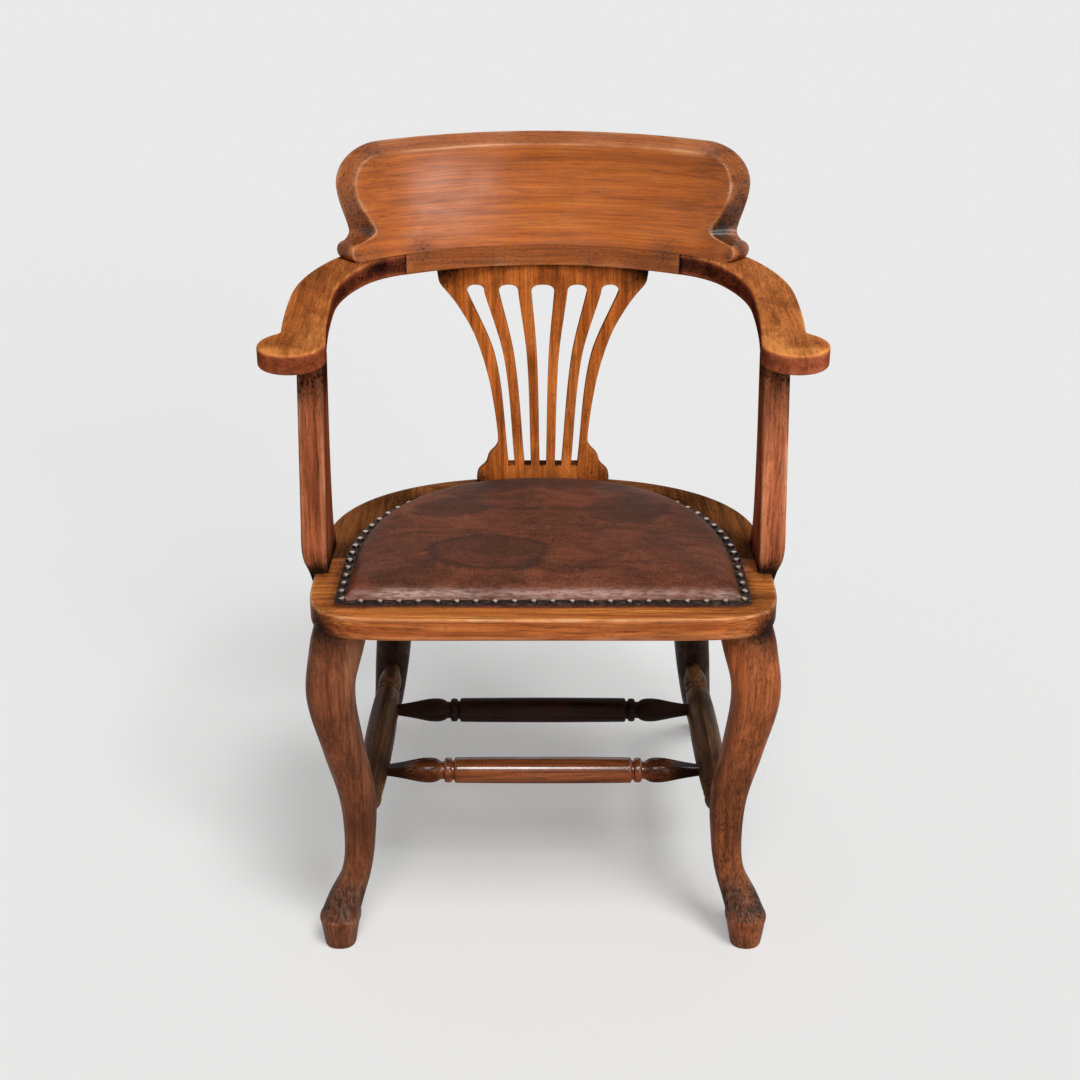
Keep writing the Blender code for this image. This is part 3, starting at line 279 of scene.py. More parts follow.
def resample(line, count):
    # Points at even distances along a line of points
    steps = np.r_[0, np.cumsum(np.linalg.norm(np.diff(line, axis=0), axis=1))]
    at = np.linspace(0, steps[-1], count)
    return np.stack([np.interp(at, steps, line[:, c]) for c in range(line.shape[1])], -1)


def edgeGap(points, starts, ends):
    # Shortest distance from each flat point to a set of straight segments, worked in blocks
    step = ends - starts
    size = np.maximum((step**2).sum(1), 1e-18)
    best = []
    for block in np.array_split(points, max(1, len(points) // 1500)):
        reach = block[:, None, :] - starts
        t = np.clip((reach * step).sum(-1) / size, 0, 1)
        best.append(np.sqrt(((reach - t[..., None] * step) ** 2).sum(-1)).min(1))
    return np.concatenate(best)


wearReach = 0.0022  # distance over which wear fades away from an arris


def boardShell(flat, near, far, nearRound, farRound, place, solid=None, square=None):
    # Board from a flat grid: each face falls away in a quarter circle over its arris, then a wall joins them.
    # The fall at a point is r - sqrt(r^2 - (r - d)^2), with d its distance to the outline.
    rows, cols = flat.shape[:2]
    count = rows * cols
    points = flat.reshape(-1, 2)
    cells = gridFaces(rows, cols)
    if solid is not None:
        cells = cells[solid.reshape(-1)]
    pairs = np.concatenate([cells[:, [0, 1]], cells[:, [1, 2]], cells[:, [2, 3]], cells[:, [3, 0]]])
    _, index, uses = np.unique(np.sort(pairs, 1), axis=0, return_inverse=True, return_counts=True)
    rim = pairs[uses[index.reshape(-1)] == 1]
    rim = rim[np.linalg.norm(points[rim[:, 0]] - points[rim[:, 1]], axis=1) > 1e-7]
    worn = rim if square is None else rim[~square(points[rim[:, 0]], points[rim[:, 1]])]
    gap = edgeGap(points, points[worn[:, 0]], points[worn[:, 1]])

    def fall(radius):
        radius = np.broadcast_to(radius, (rows, cols)).reshape(-1)
        inside = np.clip(radius - gap, 0, None)
        return radius - np.sqrt(np.clip(radius**2 - inside**2, 0, None))

    nearDepth = np.broadcast_to(near, (rows, cols)).reshape(-1) + fall(nearRound)
    farDepth = np.broadcast_to(far, (rows, cols)).reshape(-1) - fall(farRound)
    a, b = points[:, 0], points[:, 1]
    made = np.concatenate([place(a, b, nearDepth), place(a, b, farDepth)])
    edge = np.exp(-gap / wearReach)
    ids, spot = np.unique(rim, return_inverse=True)
    spot = spot.reshape(rim.shape)
    thick = farDepth[ids] - nearDepth[ids]
    levels, edges = [rim], [edge, edge]
    for i, t in enumerate((0.06, 0.2, 0.5, 0.8, 0.94)):  # rings across the wall
        made = np.concatenate([made, place(a[ids], b[ids], nearDepth[ids] + t * thick)])
        edges.append(edge[ids] * np.exp(-min(t, 1 - t) * thick / wearReach))
        levels.append(2 * count + i * len(ids) + spot)
    levels.append(rim + count)
    walls = [
        np.stack([low[:, 1], low[:, 0], high[:, 0], high[:, 1]], -1)
        for low, high in zip(levels, levels[1:])
    ]
    faces = np.concatenate([cells, cells[:, ::-1] + count] + walls)
    return made, faces.tolist(), np.concatenate(edges)


def tubeShell(rings, edge=None):
    # Rings of points joined in order, with a flat cap on the first and the last
    rows, cols = rings.shape[:2]
    faces = gridFaces(rows, cols, around=True).tolist()
    faces += [list(range(cols))[::-1], list(range((rows - 1) * cols, rows * cols))]
    edge = np.zeros((rows, cols)) if edge is None else np.broadcast_to(edge, (rows, cols))
    return rings.reshape(-1, 3), faces, edge.reshape(-1)


def turnedShell(profile, start, end, around=48):
    # Profile of (distance, radius) spun about the line from start towards end
    profile = np.asarray(profile, float)
    axis = np.asarray(end, float) - np.asarray(start, float)
    axis /= np.linalg.norm(axis)
    across = np.cross(axis, (0, 0, 1)) if abs(axis[2]) < 0.9 else np.cross(axis, (1, 0, 0))
    across /= np.linalg.norm(across)
    other = np.cross(axis, across)
    turn = np.linspace(0, 2 * np.pi, around, endpoint=False)
    spoke = np.cos(turn)[:, None] * across + np.sin(turn)[:, None] * other
    rings = np.asarray(start) + profile[:, :1, None] * axis + profile[:, 1:, None] * spoke
    return tubeShell(rings)


dirtAndShadeSpots = np.array((  # |x|, y, z, radius, amount of darkening: old dirt, and painted shade in joints, corners and under overhangs
    (0.2105, 0.1538, 0.756, 0.009, 0.95), (0.226, 0.128, 0.728, 0.009, 0.6), (0.205, 0.145, 0.722, 0.014, 0.4),
    (0.150, 0.170, 0.727, 0.016, 0.35), (0.200, 0.165, 0.838, 0.020, 0.25), (0.245, 0.120, 0.800, 0.035, 0.3),
    (0.262, -0.150, 0.672, 0.030, 0.55), (0.262, -0.110, 0.672, 0.030, 0.55), (0.250, -0.158, 0.440, 0.018, 0.55),
    (0.240, -0.110, 0.440, 0.024, 0.45), (0.240, -0.076, 0.440, 0.018, 0.45), (0.256, -0.150, 0.415, 0.026, 0.4),
    (0.132, 0.200, 0.692, 0.016, 0.95), (0.115, 0.203, 0.702, 0.014, 0.6), (0.060, 0.203, 0.706, 0.012, 0.3),
    (0.083, 0.126, 0.438, 0.012, 0.45), (0.050, 0.126, 0.437, 0.010, 0.25), (0.015, 0.126, 0.437, 0.010, 0.25),
    (0.225, -0.225, 0.408, 0.030, 0.6), (0.200, -0.190, 0.408, 0.035, 0.6), (0.240, -0.260, 0.412, 0.022, 0.5),
    (0.238, -0.262, 0.052, 0.010, 0.30), (0.260, -0.240, 0.052, 0.010, 0.30),
    (0.238, -0.240, 0.000, 0.018, 0.4), (0.212, -0.210, 0.165, 0.022, 0.5), (0.205, 0.155, 0.165, 0.030, 0.8),
    (0.203, -0.128, 0.165, 0.022, 0.8), (0.203, 0.019, 0.165, 0.022, 0.9), (0.2335, 0.256, 0.010, 0.035, 0.7),
    (0.177, 0.064, 0.405, 0.040, 0.8), (0.175, -0.129, 0.165, 0.016, 0.6), (0.118, -0.129, 0.165, 0.006, 0.5),
    (0.250, -0.274, 0.415, 0.022, 0.5), (0.255, -0.245, 0.420, 0.022, 0.45), (0.284, -0.146, 0.699, 0.015, 0.32),
))


def dirtAndShadeAt(points):
    # Sum of soft round dark patches, old dirt and painted shade, mirrored about the middle of the chair
    spot = points.copy()
    spot[:, 0] = np.abs(spot[:, 0])
    gap = np.linalg.norm(spot[:, None, :] - dirtAndShadeSpots[:, :3], axis=2)
    return np.clip((dirtAndShadeSpots[:, 4] * np.exp(-((gap / dirtAndShadeSpots[:, 3]) ** 2))).sum(1), 0, 1)


def addPiece(name, shells, finish, replaced, sharp=60, extraDirtAndShade=None, uv=None):
    # One mesh from its shells, doubles merged at poles, dressed and tied to the body
    points = np.concatenate([shell[0] for shell in shells])
    starts = np.cumsum([0] + [len(shell[0]) for shell in shells])
    faces = [[start + i for i in face] for shell, start in zip(shells, starts) for face in shell[1]]
    mesh = bpy.data.meshes.new(name)
    mesh.from_pydata(points.tolist(), [], faces)
    edge = np.concatenate([shell[2] for shell in shells])
    # Darkening per point: old dirt, with painted shade in joints, corners and under overhangs
    dirtAndShade = dirtAndShadeAt(points)
    if extraDirtAndShade is not None:
        dirtAndShade = np.clip(dirtAndShade + extraDirtAndShade(points), 0, 1)
    for word, values in (("edge", edge), ("dirtAndShade", dirtAndShade)):
        mesh.attributes.new(word, "FLOAT", "POINT").data.foreach_set("value", values.astype(np.float32))
    if uv is not None:
        corner = np.empty(len(mesh.loops), np.int32)
        mesh.loops.foreach_get("vertex_index", corner)
        mesh.uv_layers.new(name="UVMap").uv.foreach_set("vector", uv[corner].astype(np.float32).ravel())
    bm = bmesh.new()
    bm.from_mesh(mesh)
    bmesh.ops.remove_doubles(bm, verts=bm.verts, dist=2e-6)
    bmesh.ops.recalc_face_normals(bm, faces=bm.faces)
    bm.to_mesh(mesh)
    bm.free()
    mesh.shade_smooth()
    mesh.set_sharp_from_angle(angle=math.radians(sharp))
    mesh.materials.append(finish)
    obj = bpy.data.objects.new(name, mesh)
    bpy.context.scene.collection.objects.link(obj)
    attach(obj, "root")
    if replaced:
        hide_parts(*replaced)
    return obj


def addOak(name, shells, finish, dirtAndShade=None):
    addPiece(name + "_oak", shells, finish, (name,), 40, dirtAndShade)


# Oak
grainWords = ("Figure", "Fibre", "Pores", "Stain", "Specks")
polishColours = dict(
    pore=(0.045, 0.014, 0.006, 1), stain=(0.055, 0.018, 0.008, 1), speck=(0.075, 0.024, 0.010, 1),
    # The dark colour below marks old dirt and painted shade alike
    # The tint for steep faces is painted shade
    soilAndShade=(0.022, 0.009, 0.005, 1), scuff=(0.27, 0.20, 0.165, 1), uprightTint=(0.71, 0.53, 0.88, 1),
)


def makeOakGrain():
    # Grain along X: wide figure bands, fine fibre, short dark pores, stain patches and specks
    outputs = [(word, "Float") for word in grainWords]
    tree, given, out = startGroup("oakGrain", [("Vector", "Vector", None)], outputs)
    vector = given["Vector"]
    inputs = {"Vector": stretched(tree, vector, (1.5, 5, 5)), "Scale": 1.6, "Detail": 2.0}
    wave = addNode(tree, "ShaderNodeTexNoise", inputs).outputs["Color"]
    bend = vectors(tree, "MULTIPLY", vectors(tree, "SUBTRACT", wave, (0.5, 0.5, 0.5))[0], (0.0, 0.02, 0.02))[0]
    bent = vectors(tree, "ADD", vector, bend)[0]
    pores = noise(tree, stretched(tree, bent, (26, 620, 620)), 1.0, 2.0, 0.6)
    specks = noise(tree, stretched(tree, vector, (0.5, 1, 1)), 400.0, 4.0, 0.65)
    join(tree, {
        "Figure": noise(tree, stretched(tree, bent, (1.5, 26, 26)), 4.0, 3.0, 0.55),
        "Fibre": noise(tree, stretched(tree, bent, (6, 230, 230)), 1.6, 5.0, 0.65),
        "Pores": spread(tree, pores, 0.56, 0.70),
        "Stain": noise(tree, stretched(tree, vector, (0.7, 1.2, 1.2)), 17.0, 5.0, 0.62, 0.6),
        "Specks": spread(tree, specks, 0.51, 0.68),
    }, out)
    return tree


def makeAgedPolish():
    # Colour from dark to light by figure and fibre, then pores, stain, specks, worn wood (its arrises also a
    # painted highlight) and old dirt with painted shade over it
    colours = [(word, "Color", (0.3, 0.1, 0.03, 1)) for word in ("Dark", "Mid", "Light", "WornAndHighlight")]
    words = (*grainWords, "Edge", "DirtAndShade", "StainAmount", "Wear", "Contrast", "Flecks")
    outputs = [("Color", "Color"), ("Roughness", "Float"), ("Height", "Float")]
    tree, given, out = startGroup("agedPolish", colours + [(word, "Float", 0.0) for word in words], outputs)
    figure, fibre, pores, stain, specks = (given[word] for word in grainWords)
    contrast, dirtAndShade = given["Contrast"], given["DirtAndShade"]
    colour = blendColour(tree, spread(tree, figure, 0.30, 0.56), given["Dark"], given["Mid"])
    colour = blendColour(tree, spread(tree, figure, 0.50, 0.74, 0.0, 0.75), colour, given["Light"])
    tone = maths(tree, "SUBTRACT", spread(tree, fibre, 0.33, 0.67, 0.62, 1.28), 1.0)
    grey = greyOf(tree, plus(tree, times(tree, tone, contrast), 1.0))
    colour = blendColour(tree, 1.0, colour, grey, "MULTIPLY")
    colour = blendColour(tree, times(tree, pores, 0.55, contrast), colour, polishColours["pore"])
    stained = times(tree, spread(tree, stain, 0.50, 0.68), given["StainAmount"])
    colour = blendColour(tree, stained, colour, polishColours["stain"])
    amount = plus(tree, times(tree, given["StainAmount"], 0.7), 0.12, times(tree, dirtAndShade, given["Flecks"]))
    colour = blendColour(tree, times(tree, specks, amount, clamp=True), colour, polishColours["speck"])
    patch = times(tree, spread(tree, stain, 0.36, 0.58, 1.0, 0.25), spread(tree, figure, 0.36, 0.56, 0.45, 1.0))
    # Worn wood, which on the arrises also stands in for their highlight: painted highlight
    bare = blendColour(tree, 0.45, given["Light"], given["WornAndHighlight"])
    bare = blendColour(tree, 0.6, bare, grey, "MULTIPLY")
    colour = blendColour(tree, times(tree, given["Edge"], patch, given["Wear"]), colour, bare)
    settle = plus(tree, spread(tree, stain, 0.25, 0.60, 0.50, 1.10), times(tree, specks, 0.6))
    # Old dirt and painted shade, thicker in stains and specks
    soilAndShade = times(tree, dirtAndShade, settle, clamp=True)
    colour = blendColour(tree, soilAndShade, colour, polishColours["soilAndShade"])
    rough = spread(tree, stain, 0.3, 0.7, 0.34, 0.50)
    rough = plus(tree, rough, times(tree, pores, 0.12), times(tree, soilAndShade, 0.18))
    pits = times(tree, pores, 0.8), times(tree, specks, 0.5)
    height = maths(tree, "SUBTRACT", times(tree, fibre, 0.35), *pits)
    join(tree, {"Color": colour, "Roughness": rough, "Height": height}, out)
    return tree


oakGrain = makeOakGrain()
agedPolish = makeAgedPolish()
oakTones = {  # dark, mid, light
    "crest": ((0.420, 0.100, 0.013), (0.545, 0.135, 0.016), (0.640, 0.184, 0.028)),
    # Left arm, leg and support tones are darker copies and the right ones paler copies of one wood: painted light
    # from the right
    "shadedLeftArm": ((0.400, 0.110, 0.026), (0.530, 0.154, 0.038), (0.640, 0.210, 0.052)),
    "litRightArm": ((0.500, 0.148, 0.037), (0.690, 0.215, 0.060), (0.780, 0.280, 0.078)),
    "frontRail": ((0.420, 0.115, 0.024), (0.680, 0.210, 0.044), (0.800, 0.310, 0.074)),
    "sideRail": ((0.190, 0.066, 0.020), (0.310, 0.110, 0.034), (0.400, 0.152, 0.047)),
    "splat": ((0.310, 0.073, 0.014), (0.560, 0.143, 0.027), (0.700, 0.216, 0.048)),
    "shadedLeftSupport": ((0.220, 0.056, 0.022), (0.480, 0.125, 0.050), (0.610, 0.192, 0.082)),
    "litRightSupport": ((0.360, 0.096, 0.042), (0.740, 0.212, 0.090), (0.840, 0.290, 0.130)),
    "shadedLeftLeg": ((0.165, 0.049, 0.018), (0.235, 0.068, 0.027), (0.310, 0.096, 0.040)),
    "litRightLeg": ((0.290, 0.080, 0.026), (0.435, 0.122, 0.041), (0.530, 0.162, 0.056)),
    "side": ((0.045, 0.021, 0.009), (0.135, 0.062, 0.024), (0.250, 0.120, 0.047)),
    "dark": ((0.008, 0.004, 0.003), (0.025, 0.013, 0.010), (0.054, 0.027, 0.018)),
    "frontCross": ((0.150, 0.037, 0.012), (0.300, 0.078, 0.021), (0.420, 0.125, 0.042)),
}
oakUsual = dict(
    gloss=0.04, coat=0.0, smooth=0.16, coatIor=1.5, topOnly=False, upright=0.0, contrast=1.0, dust=0.0,
    # Worn colour for arrises and rubbed patches, also used as their painted highlight
    rubAndHighlight=(0.86, 0.52, 0.28), flecks=0.4, bump=0.22, bumpDepth=0.0006,
)


def grainSpace(tree, where, grain):
    # Metres along the grain, then square to it: the bow by its arc, straight boards by the grain's direction
    if grain == "bow":
        x, y, z = axes(tree, where)
        deep = maths(tree, "SUBTRACT", y, bow["backY"] - bow["backRadius"])
        run = times(tree, maths(tree, "ARCTAN2", x, deep), bow["backRadius"])
        reach = maths(tree, "SQRT", plus(tree, times(tree, x, x), times(tree, deep, deep)))
        parts = (run, reach, z)
    else:
        along = Vector(grain).normalized()
        other = along.cross(Vector((0, 1, 0)) if abs(along.y) < 0.9 else Vector((0, 0, 1))).normalized()
        ways = (along, other, along.cross(other))
        parts = [vectors(tree, "DOT_PRODUCT", where, way)["Value"] for way in ways]
    return addNode(tree, "ShaderNodeCombineXYZ", dict(enumerate(parts))).outputs[0]


def makeOak(name, tone, grain, stain, wear, shift, **changes):
    # One board's polish: tone and grain, painted shade making its steep faces darker and redder, scuffed low
    # down, glossy in its coat
    s = {**oakUsual, **changes}
    finish, tree, shader = startMaterial(name)
    where = objectPlace(tree)
    along = stretched(tree, grainSpace(tree, where, grain), (1, 1, 1), (shift, shift * 1.7, shift * 0.6))
    figure = placeGroup(tree, oakGrain, {"Vector": along})
    inputs = {word: figure[word] for word in grainWords}
    inputs.update({word: (*colour, 1) for word, colour in zip(("Dark", "Mid", "Light"), oakTones[tone])})
    inputs.update({"WornAndHighlight": (*s["rubAndHighlight"], 1), "StainAmount": stain, "Wear": wear})
    inputs.update({"Contrast": s["contrast"], "Flecks": s["flecks"]})
    inputs.update({"Edge": attribute(tree, "edge"), "DirtAndShade": attribute(tree, "dirtAndShade")})
    polish = placeGroup(tree, agedPolish, inputs)
    colour = polish["Color"]
    if s["upright"] or s["topOnly"]:
        facing = axes(tree, addNode(tree, "ShaderNodeNewGeometry").outputs["Normal"])[2]
    # Painted shade: faces that stand upright darker and redder than the tops
    if s["upright"]:
        steepShaded = blendColour(tree, 1.0, colour, polishColours["uprightTint"], "MULTIPLY")
        steepShadeMix = spread(tree, maths(tree, "ABSOLUTE", facing), 0.35, 0.75, s["upright"], 0.0)
        colour = blendColour(tree, steepShadeMix, colour, steepShaded)
    if s["dust"]:  # grey scuffs up to this height
        z, high = axes(tree, where)[2], s["dust"]
        rise = spread(tree, z, 0.35 * high, 0.42 * high, 0.2, 1.0)
        fade = spread(tree, z, 0.5 * high, high, 0.34, 0.0)
        scuff = times(tree, rise, fade, spread(tree, figure["Fibre"], 0.42, 0.66))
        colour = blendColour(tree, scuff, colour, polishColours["scuff"])
    dressShader(tree, shader, colour, polish["Roughness"], polish["Height"], s["bump"], s["bumpDepth"])
    if s["coat"]:  # thinner in the stains, and rubbed off the underside and the dirty ends of a round piece
        whole = spread(tree, figure["Stain"], 0.34, 0.66, s["coat"], 0.55 * s["coat"])
        if s["topOnly"]:
            clean = spread(tree, attribute(tree, "dirtAndShade"), 0.1, 0.5, 1.0, 0.25)
            whole = times(tree, whole, spread(tree, facing, 0.40, 0.56, 0.12, 1.0), clean)
        tree.links.new(whole, shader.inputs["Coat Weight"])
    shader.inputs["Specular IOR Level"].default_value = s["gloss"]
    shader.inputs["Coat Roughness"].default_value = s["smooth"]
    shader.inputs["Coat IOR"].default_value = s["coatIor"]
    return finish


print("oak finishes ready")

# Seat frame: four curved rails
seat = dict(
    top=0.437, bottom=0.411, half=0.256, front=0.216, back=0.208, frontPower=8.0, backPower=2.3, centreY=-0.060,
    sideWidth=0.070, frontWidth=0.085, backWidth=0.070, openingPower=6.0, topRound=0.0034, bottomRound=0.004,
    rebateWidth=0.014, rebateDepth=0.0051, frontJoint=-13.0, backJoint=50.0,
    notchX=0.2410, notchFront=-0.158, notchBack=-0.071, jointGap=0.0004,
)
seatPlan = {key: seat[key] for key in ("half", "front", "back", "frontPower", "backPower", "centreY")}
openPlan = dict(
    half=seat["half"] - seat["sideWidth"], front=seat["front"] - seat["frontWidth"],
    back=seat["back"] - seat["backWidth"], frontPower=seat["openingPower"], backPower=seat["backPower"],
    centreY=seat["centreY"],
)


def planPoint(plan, angle):
    # Superellipse about the plan's centre, with its own reach and power before and behind it
    c, s = np.cos(angle), np.sin(angle)
    reach = np.where(s >= 0, plan["back"], plan["front"])
    power = np.where(s >= 0, plan["backPower"], plan["frontPower"])
    r = (np.abs(c / plan["half"]) ** power + np.abs(s / reach) ** power) ** (-1 / power)
    return np.stack([r * c, plan["centreY"] + r * s], -1)


def railShell(angles, cut):
    # Section from outer edge to rebate carried round the plan; cut stations stop at the support's notch
    outer, inner = planPoint(seatPlan, angles), planPoint(openPlan, angles)
    width = np.linalg.norm(inner - outer, axis=1)
    inwards = (inner - outer) / width[:, None]
    low, top, lowR, topR = seat["bottom"], seat["top"], seat["bottomRound"], seat["topRound"]
    t = np.linspace(0, np.pi / 2, 7)
    ledge, floor = width - seat["rebateWidth"], top - seat["rebateDepth"]
    ones = np.ones_like(width)
    # Rows of distance inwards, height and wear
    across = [(lowR * (1 - math.sin(a)) * ones, low + lowR * (1 - math.cos(a)), 0.35) for a in t]
    across += [(0 * ones, low + lowR + (top - topR - low - lowR) * s, 0.0) for s in (0.2, 0.5, 0.85)]
    wear = [math.sin(2 * a) ** 0.5 if a else 0.0 for a in t]
    across += [(topR * (1 - math.cos(a)) * ones, top - topR * (1 - math.sin(a)), w) for a, w in zip(t, wear)]
    shares = (0.02, 0.06, 0.15, 0.3, 0.5, 0.75, 1.0)
    across += [(topR + (ledge - topR) * s, top, 0.3 * math.exp(-s * 40)) for s in shares]
    across += [(ledge, floor, 0), (width, floor, 0), (width, low, 0)]
    across += [(lowR + (width - lowR) * s, low, 0) for s in (0.75, 0.5, 0.25)]
    distance = np.stack([row[0] for row in across], -1)
    height = np.array([row[1] for row in across])
    flat = outer[:, None, :] + inwards[:, None, :] * distance[..., None]
    limit = np.where(cut, seat["notchX"] - fit, 1.0)[:, None]
    flat[..., 0] = np.clip(flat[..., 0], -limit, limit)
    return tubeShell(lifted(flat, height), np.array([row[2] for row in across]))


def makeRails(finishes):
    turn, cutSteps, frontSteps, sideSteps, backSteps = np.pi, 8, 190, 50, 80
    front, back = np.radians(seat["frontJoint"]), np.radians(seat["backJoint"])
    gap = seat["jointGap"] / seat["half"]
    frontCut = math.atan2(seat["notchFront"] - fit - seat["centreY"], seat["half"])
    backCut = math.atan2(seat["notchBack"] + fit - seat["centreY"], seat["notchX"])
    frontAngles = np.r_[
        np.linspace(-turn - front + gap, -turn - frontCut, cutSteps),
        np.linspace(-turn - frontCut, frontCut, frontSteps), np.linspace(frontCut, front - gap, cutSteps),
    ]
    frontSide = np.repeat([True, False, True], [cutSteps, frontSteps, cutSteps])
    sideAngles = np.r_[np.linspace(front + gap, backCut, cutSteps), np.linspace(backCut, back - gap, sideSteps)]
    sideCut = np.repeat([True, False], [cutSteps, sideSteps])
    backAngles = np.linspace(back + gap, turn - back - gap, backSteps)
    plan = (
        ("front_seat_rail", frontAngles, frontSide, "front"),
        ("right_seat_rail", sideAngles, sideCut, "side"),
        ("left_seat_rail", turn - sideAngles[::-1], sideCut[::-1], "side"),
        ("back_seat_rail", backAngles, np.full(backSteps, False), "back"),
    )
    for name, angles, cut, word in plan:
        addOak(name, [railShell(angles, cut)], finishes[word], seatGrime)


# Seat stuffing, leather, banding and nails
cover = dict(
    half=0.2249, front=0.1060, back=0.2608, frontPower=24.0, backPower=2.25, centreY=-0.140, apexY=-0.072,
    thickness=0.0018, crown=0.0150, crownRun=0.075, edgeRise=0.0122, backRise=0.0036, edgeRun=0.0066,
    base=0.4373, hollow=0.0015, hollowAt=(0.075, -0.05), hollowReach=(0.07, 0.08), pucker=0.00045, tuck=0.0005,
    ripple=0.0006, stations=360, dirtAmount=0.55, dirtReach=0.0035, behindAmount=0.14,
)
band = dict(
    width=0.012, thickness=0.0016, seam=60.0, trim=0.001, nailRadius=0.0046, nailHeight=0.0032, nailFoot=0.0008,
    nailSides=14, pitch=0.0205, cornerInset=0.003,
)


def coverPlan(inset):
    plan = {key: cover[key] for key in ("frontPower", "backPower", "centreY")}
    plan.update({key: cover[key] - inset for key in ("half", "front", "back")})
    return plan


def coverAngles():
    # Angles round the cover, drawn close together at its two front corners
    count = cover["stations"]
    corner = math.atan2(cover["front"], cover["half"])
    near = np.tan(np.linspace(-1.3, 1.3, 41)) / math.tan(1.3) * 0.22
    ahead = np.linspace(-np.pi / 2, -corner - 0.24, count // 6)
    right = np.r_[ahead, -corner + near, np.linspace(0.24 - corner, np.pi / 2, count // 3)]
    return np.r_[right, np.pi - right[-2:0:-1]]


def seatGrime(points):
    # Dirt gathered on the frame in a narrow line round the leather, and a little all over its back
    centre = np.array([0, cover["centreY"]])
    away = points[:, :2] - centre
    edge = planPoint(coverPlan(0.0), np.arctan2(away[:, 1], away[:, 0])) - centre
    gap = np.hypot(away[:, 0], away[:, 1]) - np.hypot(edge[:, 0], edge[:, 1])
    top = smoothStep(points[:, 2], seat["top"] - 0.004, seat["top"])
    behind = cover["behindAmount"] * smoothStep(points[:, 1], -0.12, 0.08)
    return top * (cover["dirtAmount"] * np.exp(-np.clip(gap, 0, None) / cover["dirtReach"]) + behind)


def nailPlaces():
    # Even steps along the front edge, then even steps of arc round the sides and back
    plan = coverPlan(band["width"] / 2)
    end, power = plan["half"] - band["cornerInset"], plan["frontPower"]
    x = np.linspace(-end, end, round(2 * end / band["pitch"]) + 1)
    y = plan["centreY"] - plan["front"] * (1 - np.abs(x / plan["half"]) ** power) ** (1 / power)
    front = np.stack([x, y], -1)
    corner = math.atan2(front[-1, 1] - plan["centreY"], front[-1, 0])
    line = planPoint(plan, np.linspace(corner, np.pi - corner, 1600))
    length = np.linalg.norm(np.diff(line, axis=0), axis=1).sum()
    around = resample(line, round(length / band["pitch"]) + 1)[1:-1]
    return front, around


def coverHeight(flat):
    # Quick rise e(1 - exp(-d/a)) at the nailed edge, then a slow crown c(1 - exp(-d/b)), with d a soft least
    # distance to the front edge and to the round of the sides and back; a sitting hollow and small swellings
    plan = coverPlan(band["width"] - cover["tuck"])
    power = plan["backPower"]
    x, y = flat[..., 0], flat[..., 1]
    ahead = np.clip(y - plan["centreY"] + plan["front"], 1e-6, None)
    behind = np.clip((y - plan["centreY"]) / plan["back"], 0, None)
    share = (np.abs(x / plan["half"]) ** power + behind**power) ** (1 / power)
    around = np.clip((1 - share) * plan["half"], 1e-6, None)
    d = (ahead**-2.5 + around**-2.5) ** (-1 / 2.5)
    lip = cover["edgeRise"] + cover["backRise"] * smoothStep(y, -0.14, 0.02)
    rise = lip * (1 - np.exp(-d / cover["edgeRun"])) + cover["crown"] * (1 - np.exp(-d / cover["crownRun"]))
    (sitX, sitY), (wide, deep) = cover["hollowAt"], cover["hollowReach"]
    left, right = (np.exp(-(((x - way * sitX) / wide) ** 2 + ((y - sitY) / deep) ** 2)) for way in (-1, 1))
    ripple = cover["ripple"] * np.sin(31 * x + 9 * y + 1.3) * np.sin(27 * y - 14 * x)
    ripple = ripple * smoothStep(d, 0.01, 0.05)
    return rise - cover["hollow"] * (left + right) + ripple


def coverShell(angles, lift, outerInset, thick):
    # Sheet over the pad: rings from the nailed rim to the middle, then back again underneath
    apex = np.array([0, cover["apexY"]])
    share = np.r_[1 - np.linspace(0, 1, 15)[:-1] ** 1.6 * 0.16, np.linspace(0.84, 0.0, 26)]
    inner = planPoint(coverPlan(band["width"] - cover["tuck"]), angles)
    flat = apex + share[:, None, None] * (inner - apex)
    swell, base = coverHeight(flat), cover["base"]
    nails = np.concatenate(nailPlaces())
    gap = np.linalg.norm(flat[:, :, None, :] - nails, axis=3).min(2)
    swell += cover["pucker"] * smoothStep(gap, 0.004, 0.012) * np.exp(-((1 - share[:, None]) / 0.05))
    top = lifted(flat, base + lift + thick + swell)
    if outerInset is not None:
        outer = planPoint(coverPlan(outerInset), angles)[None]
        low = lifted(flat, base + lift + np.clip(swell, 0, None))
        rings = np.concatenate([low[::-1], lifted(outer, base), lifted(outer, base + thick), top])
    else:
        rings = np.concatenate([lifted(flat[-1:], base), lifted(flat[:1], base), top])
    faces = gridFaces(*rings.shape[:2], around=True).tolist()
    ahead = rings[..., 1] - cover["centreY"] + cover["front"] - band["width"]
    edge = softBand(ahead, 0.0035, 0.0042) * (rings[..., 2] > base + 0.003)  # paler front lip: partly rubbed, mostly a painted highlight
    return rings.reshape(-1, 3), faces, edge.reshape(-1)


def bandShell(start, end):
    # Flat strip with rounded shoulders, carried along the rim of the cover between two angles
    every = np.sort(np.concatenate([coverAngles() + turn for turn in (-2 * np.pi, 0)]))
    between = every[(every > start + 0.004) & (every < end - 0.004)]
    angles = np.r_[start + band["trim"], between, end - band["trim"]]
    outer, inner = planPoint(coverPlan(fit), angles), planPoint(coverPlan(band["width"]), angles)
    low = cover["base"] + cover["thickness"] + fit
    share = np.array([0, 0, 0.05, 0.12, 0.25, 0.38, 0.5, 0.62, 0.75, 0.88, 0.95, 1, 1])
    lift = np.array([0, 0.55, 0.9, 1.0, 0.93, 1.0, 1.04, 1.0, 0.93, 1.0, 0.9, 0.55, 0]) * band["thickness"]
    flat = outer[:, None, :] + share[None, :, None] * (inner - outer)[:, None, :]
    return tubeShell(lifted(flat, low + lift))


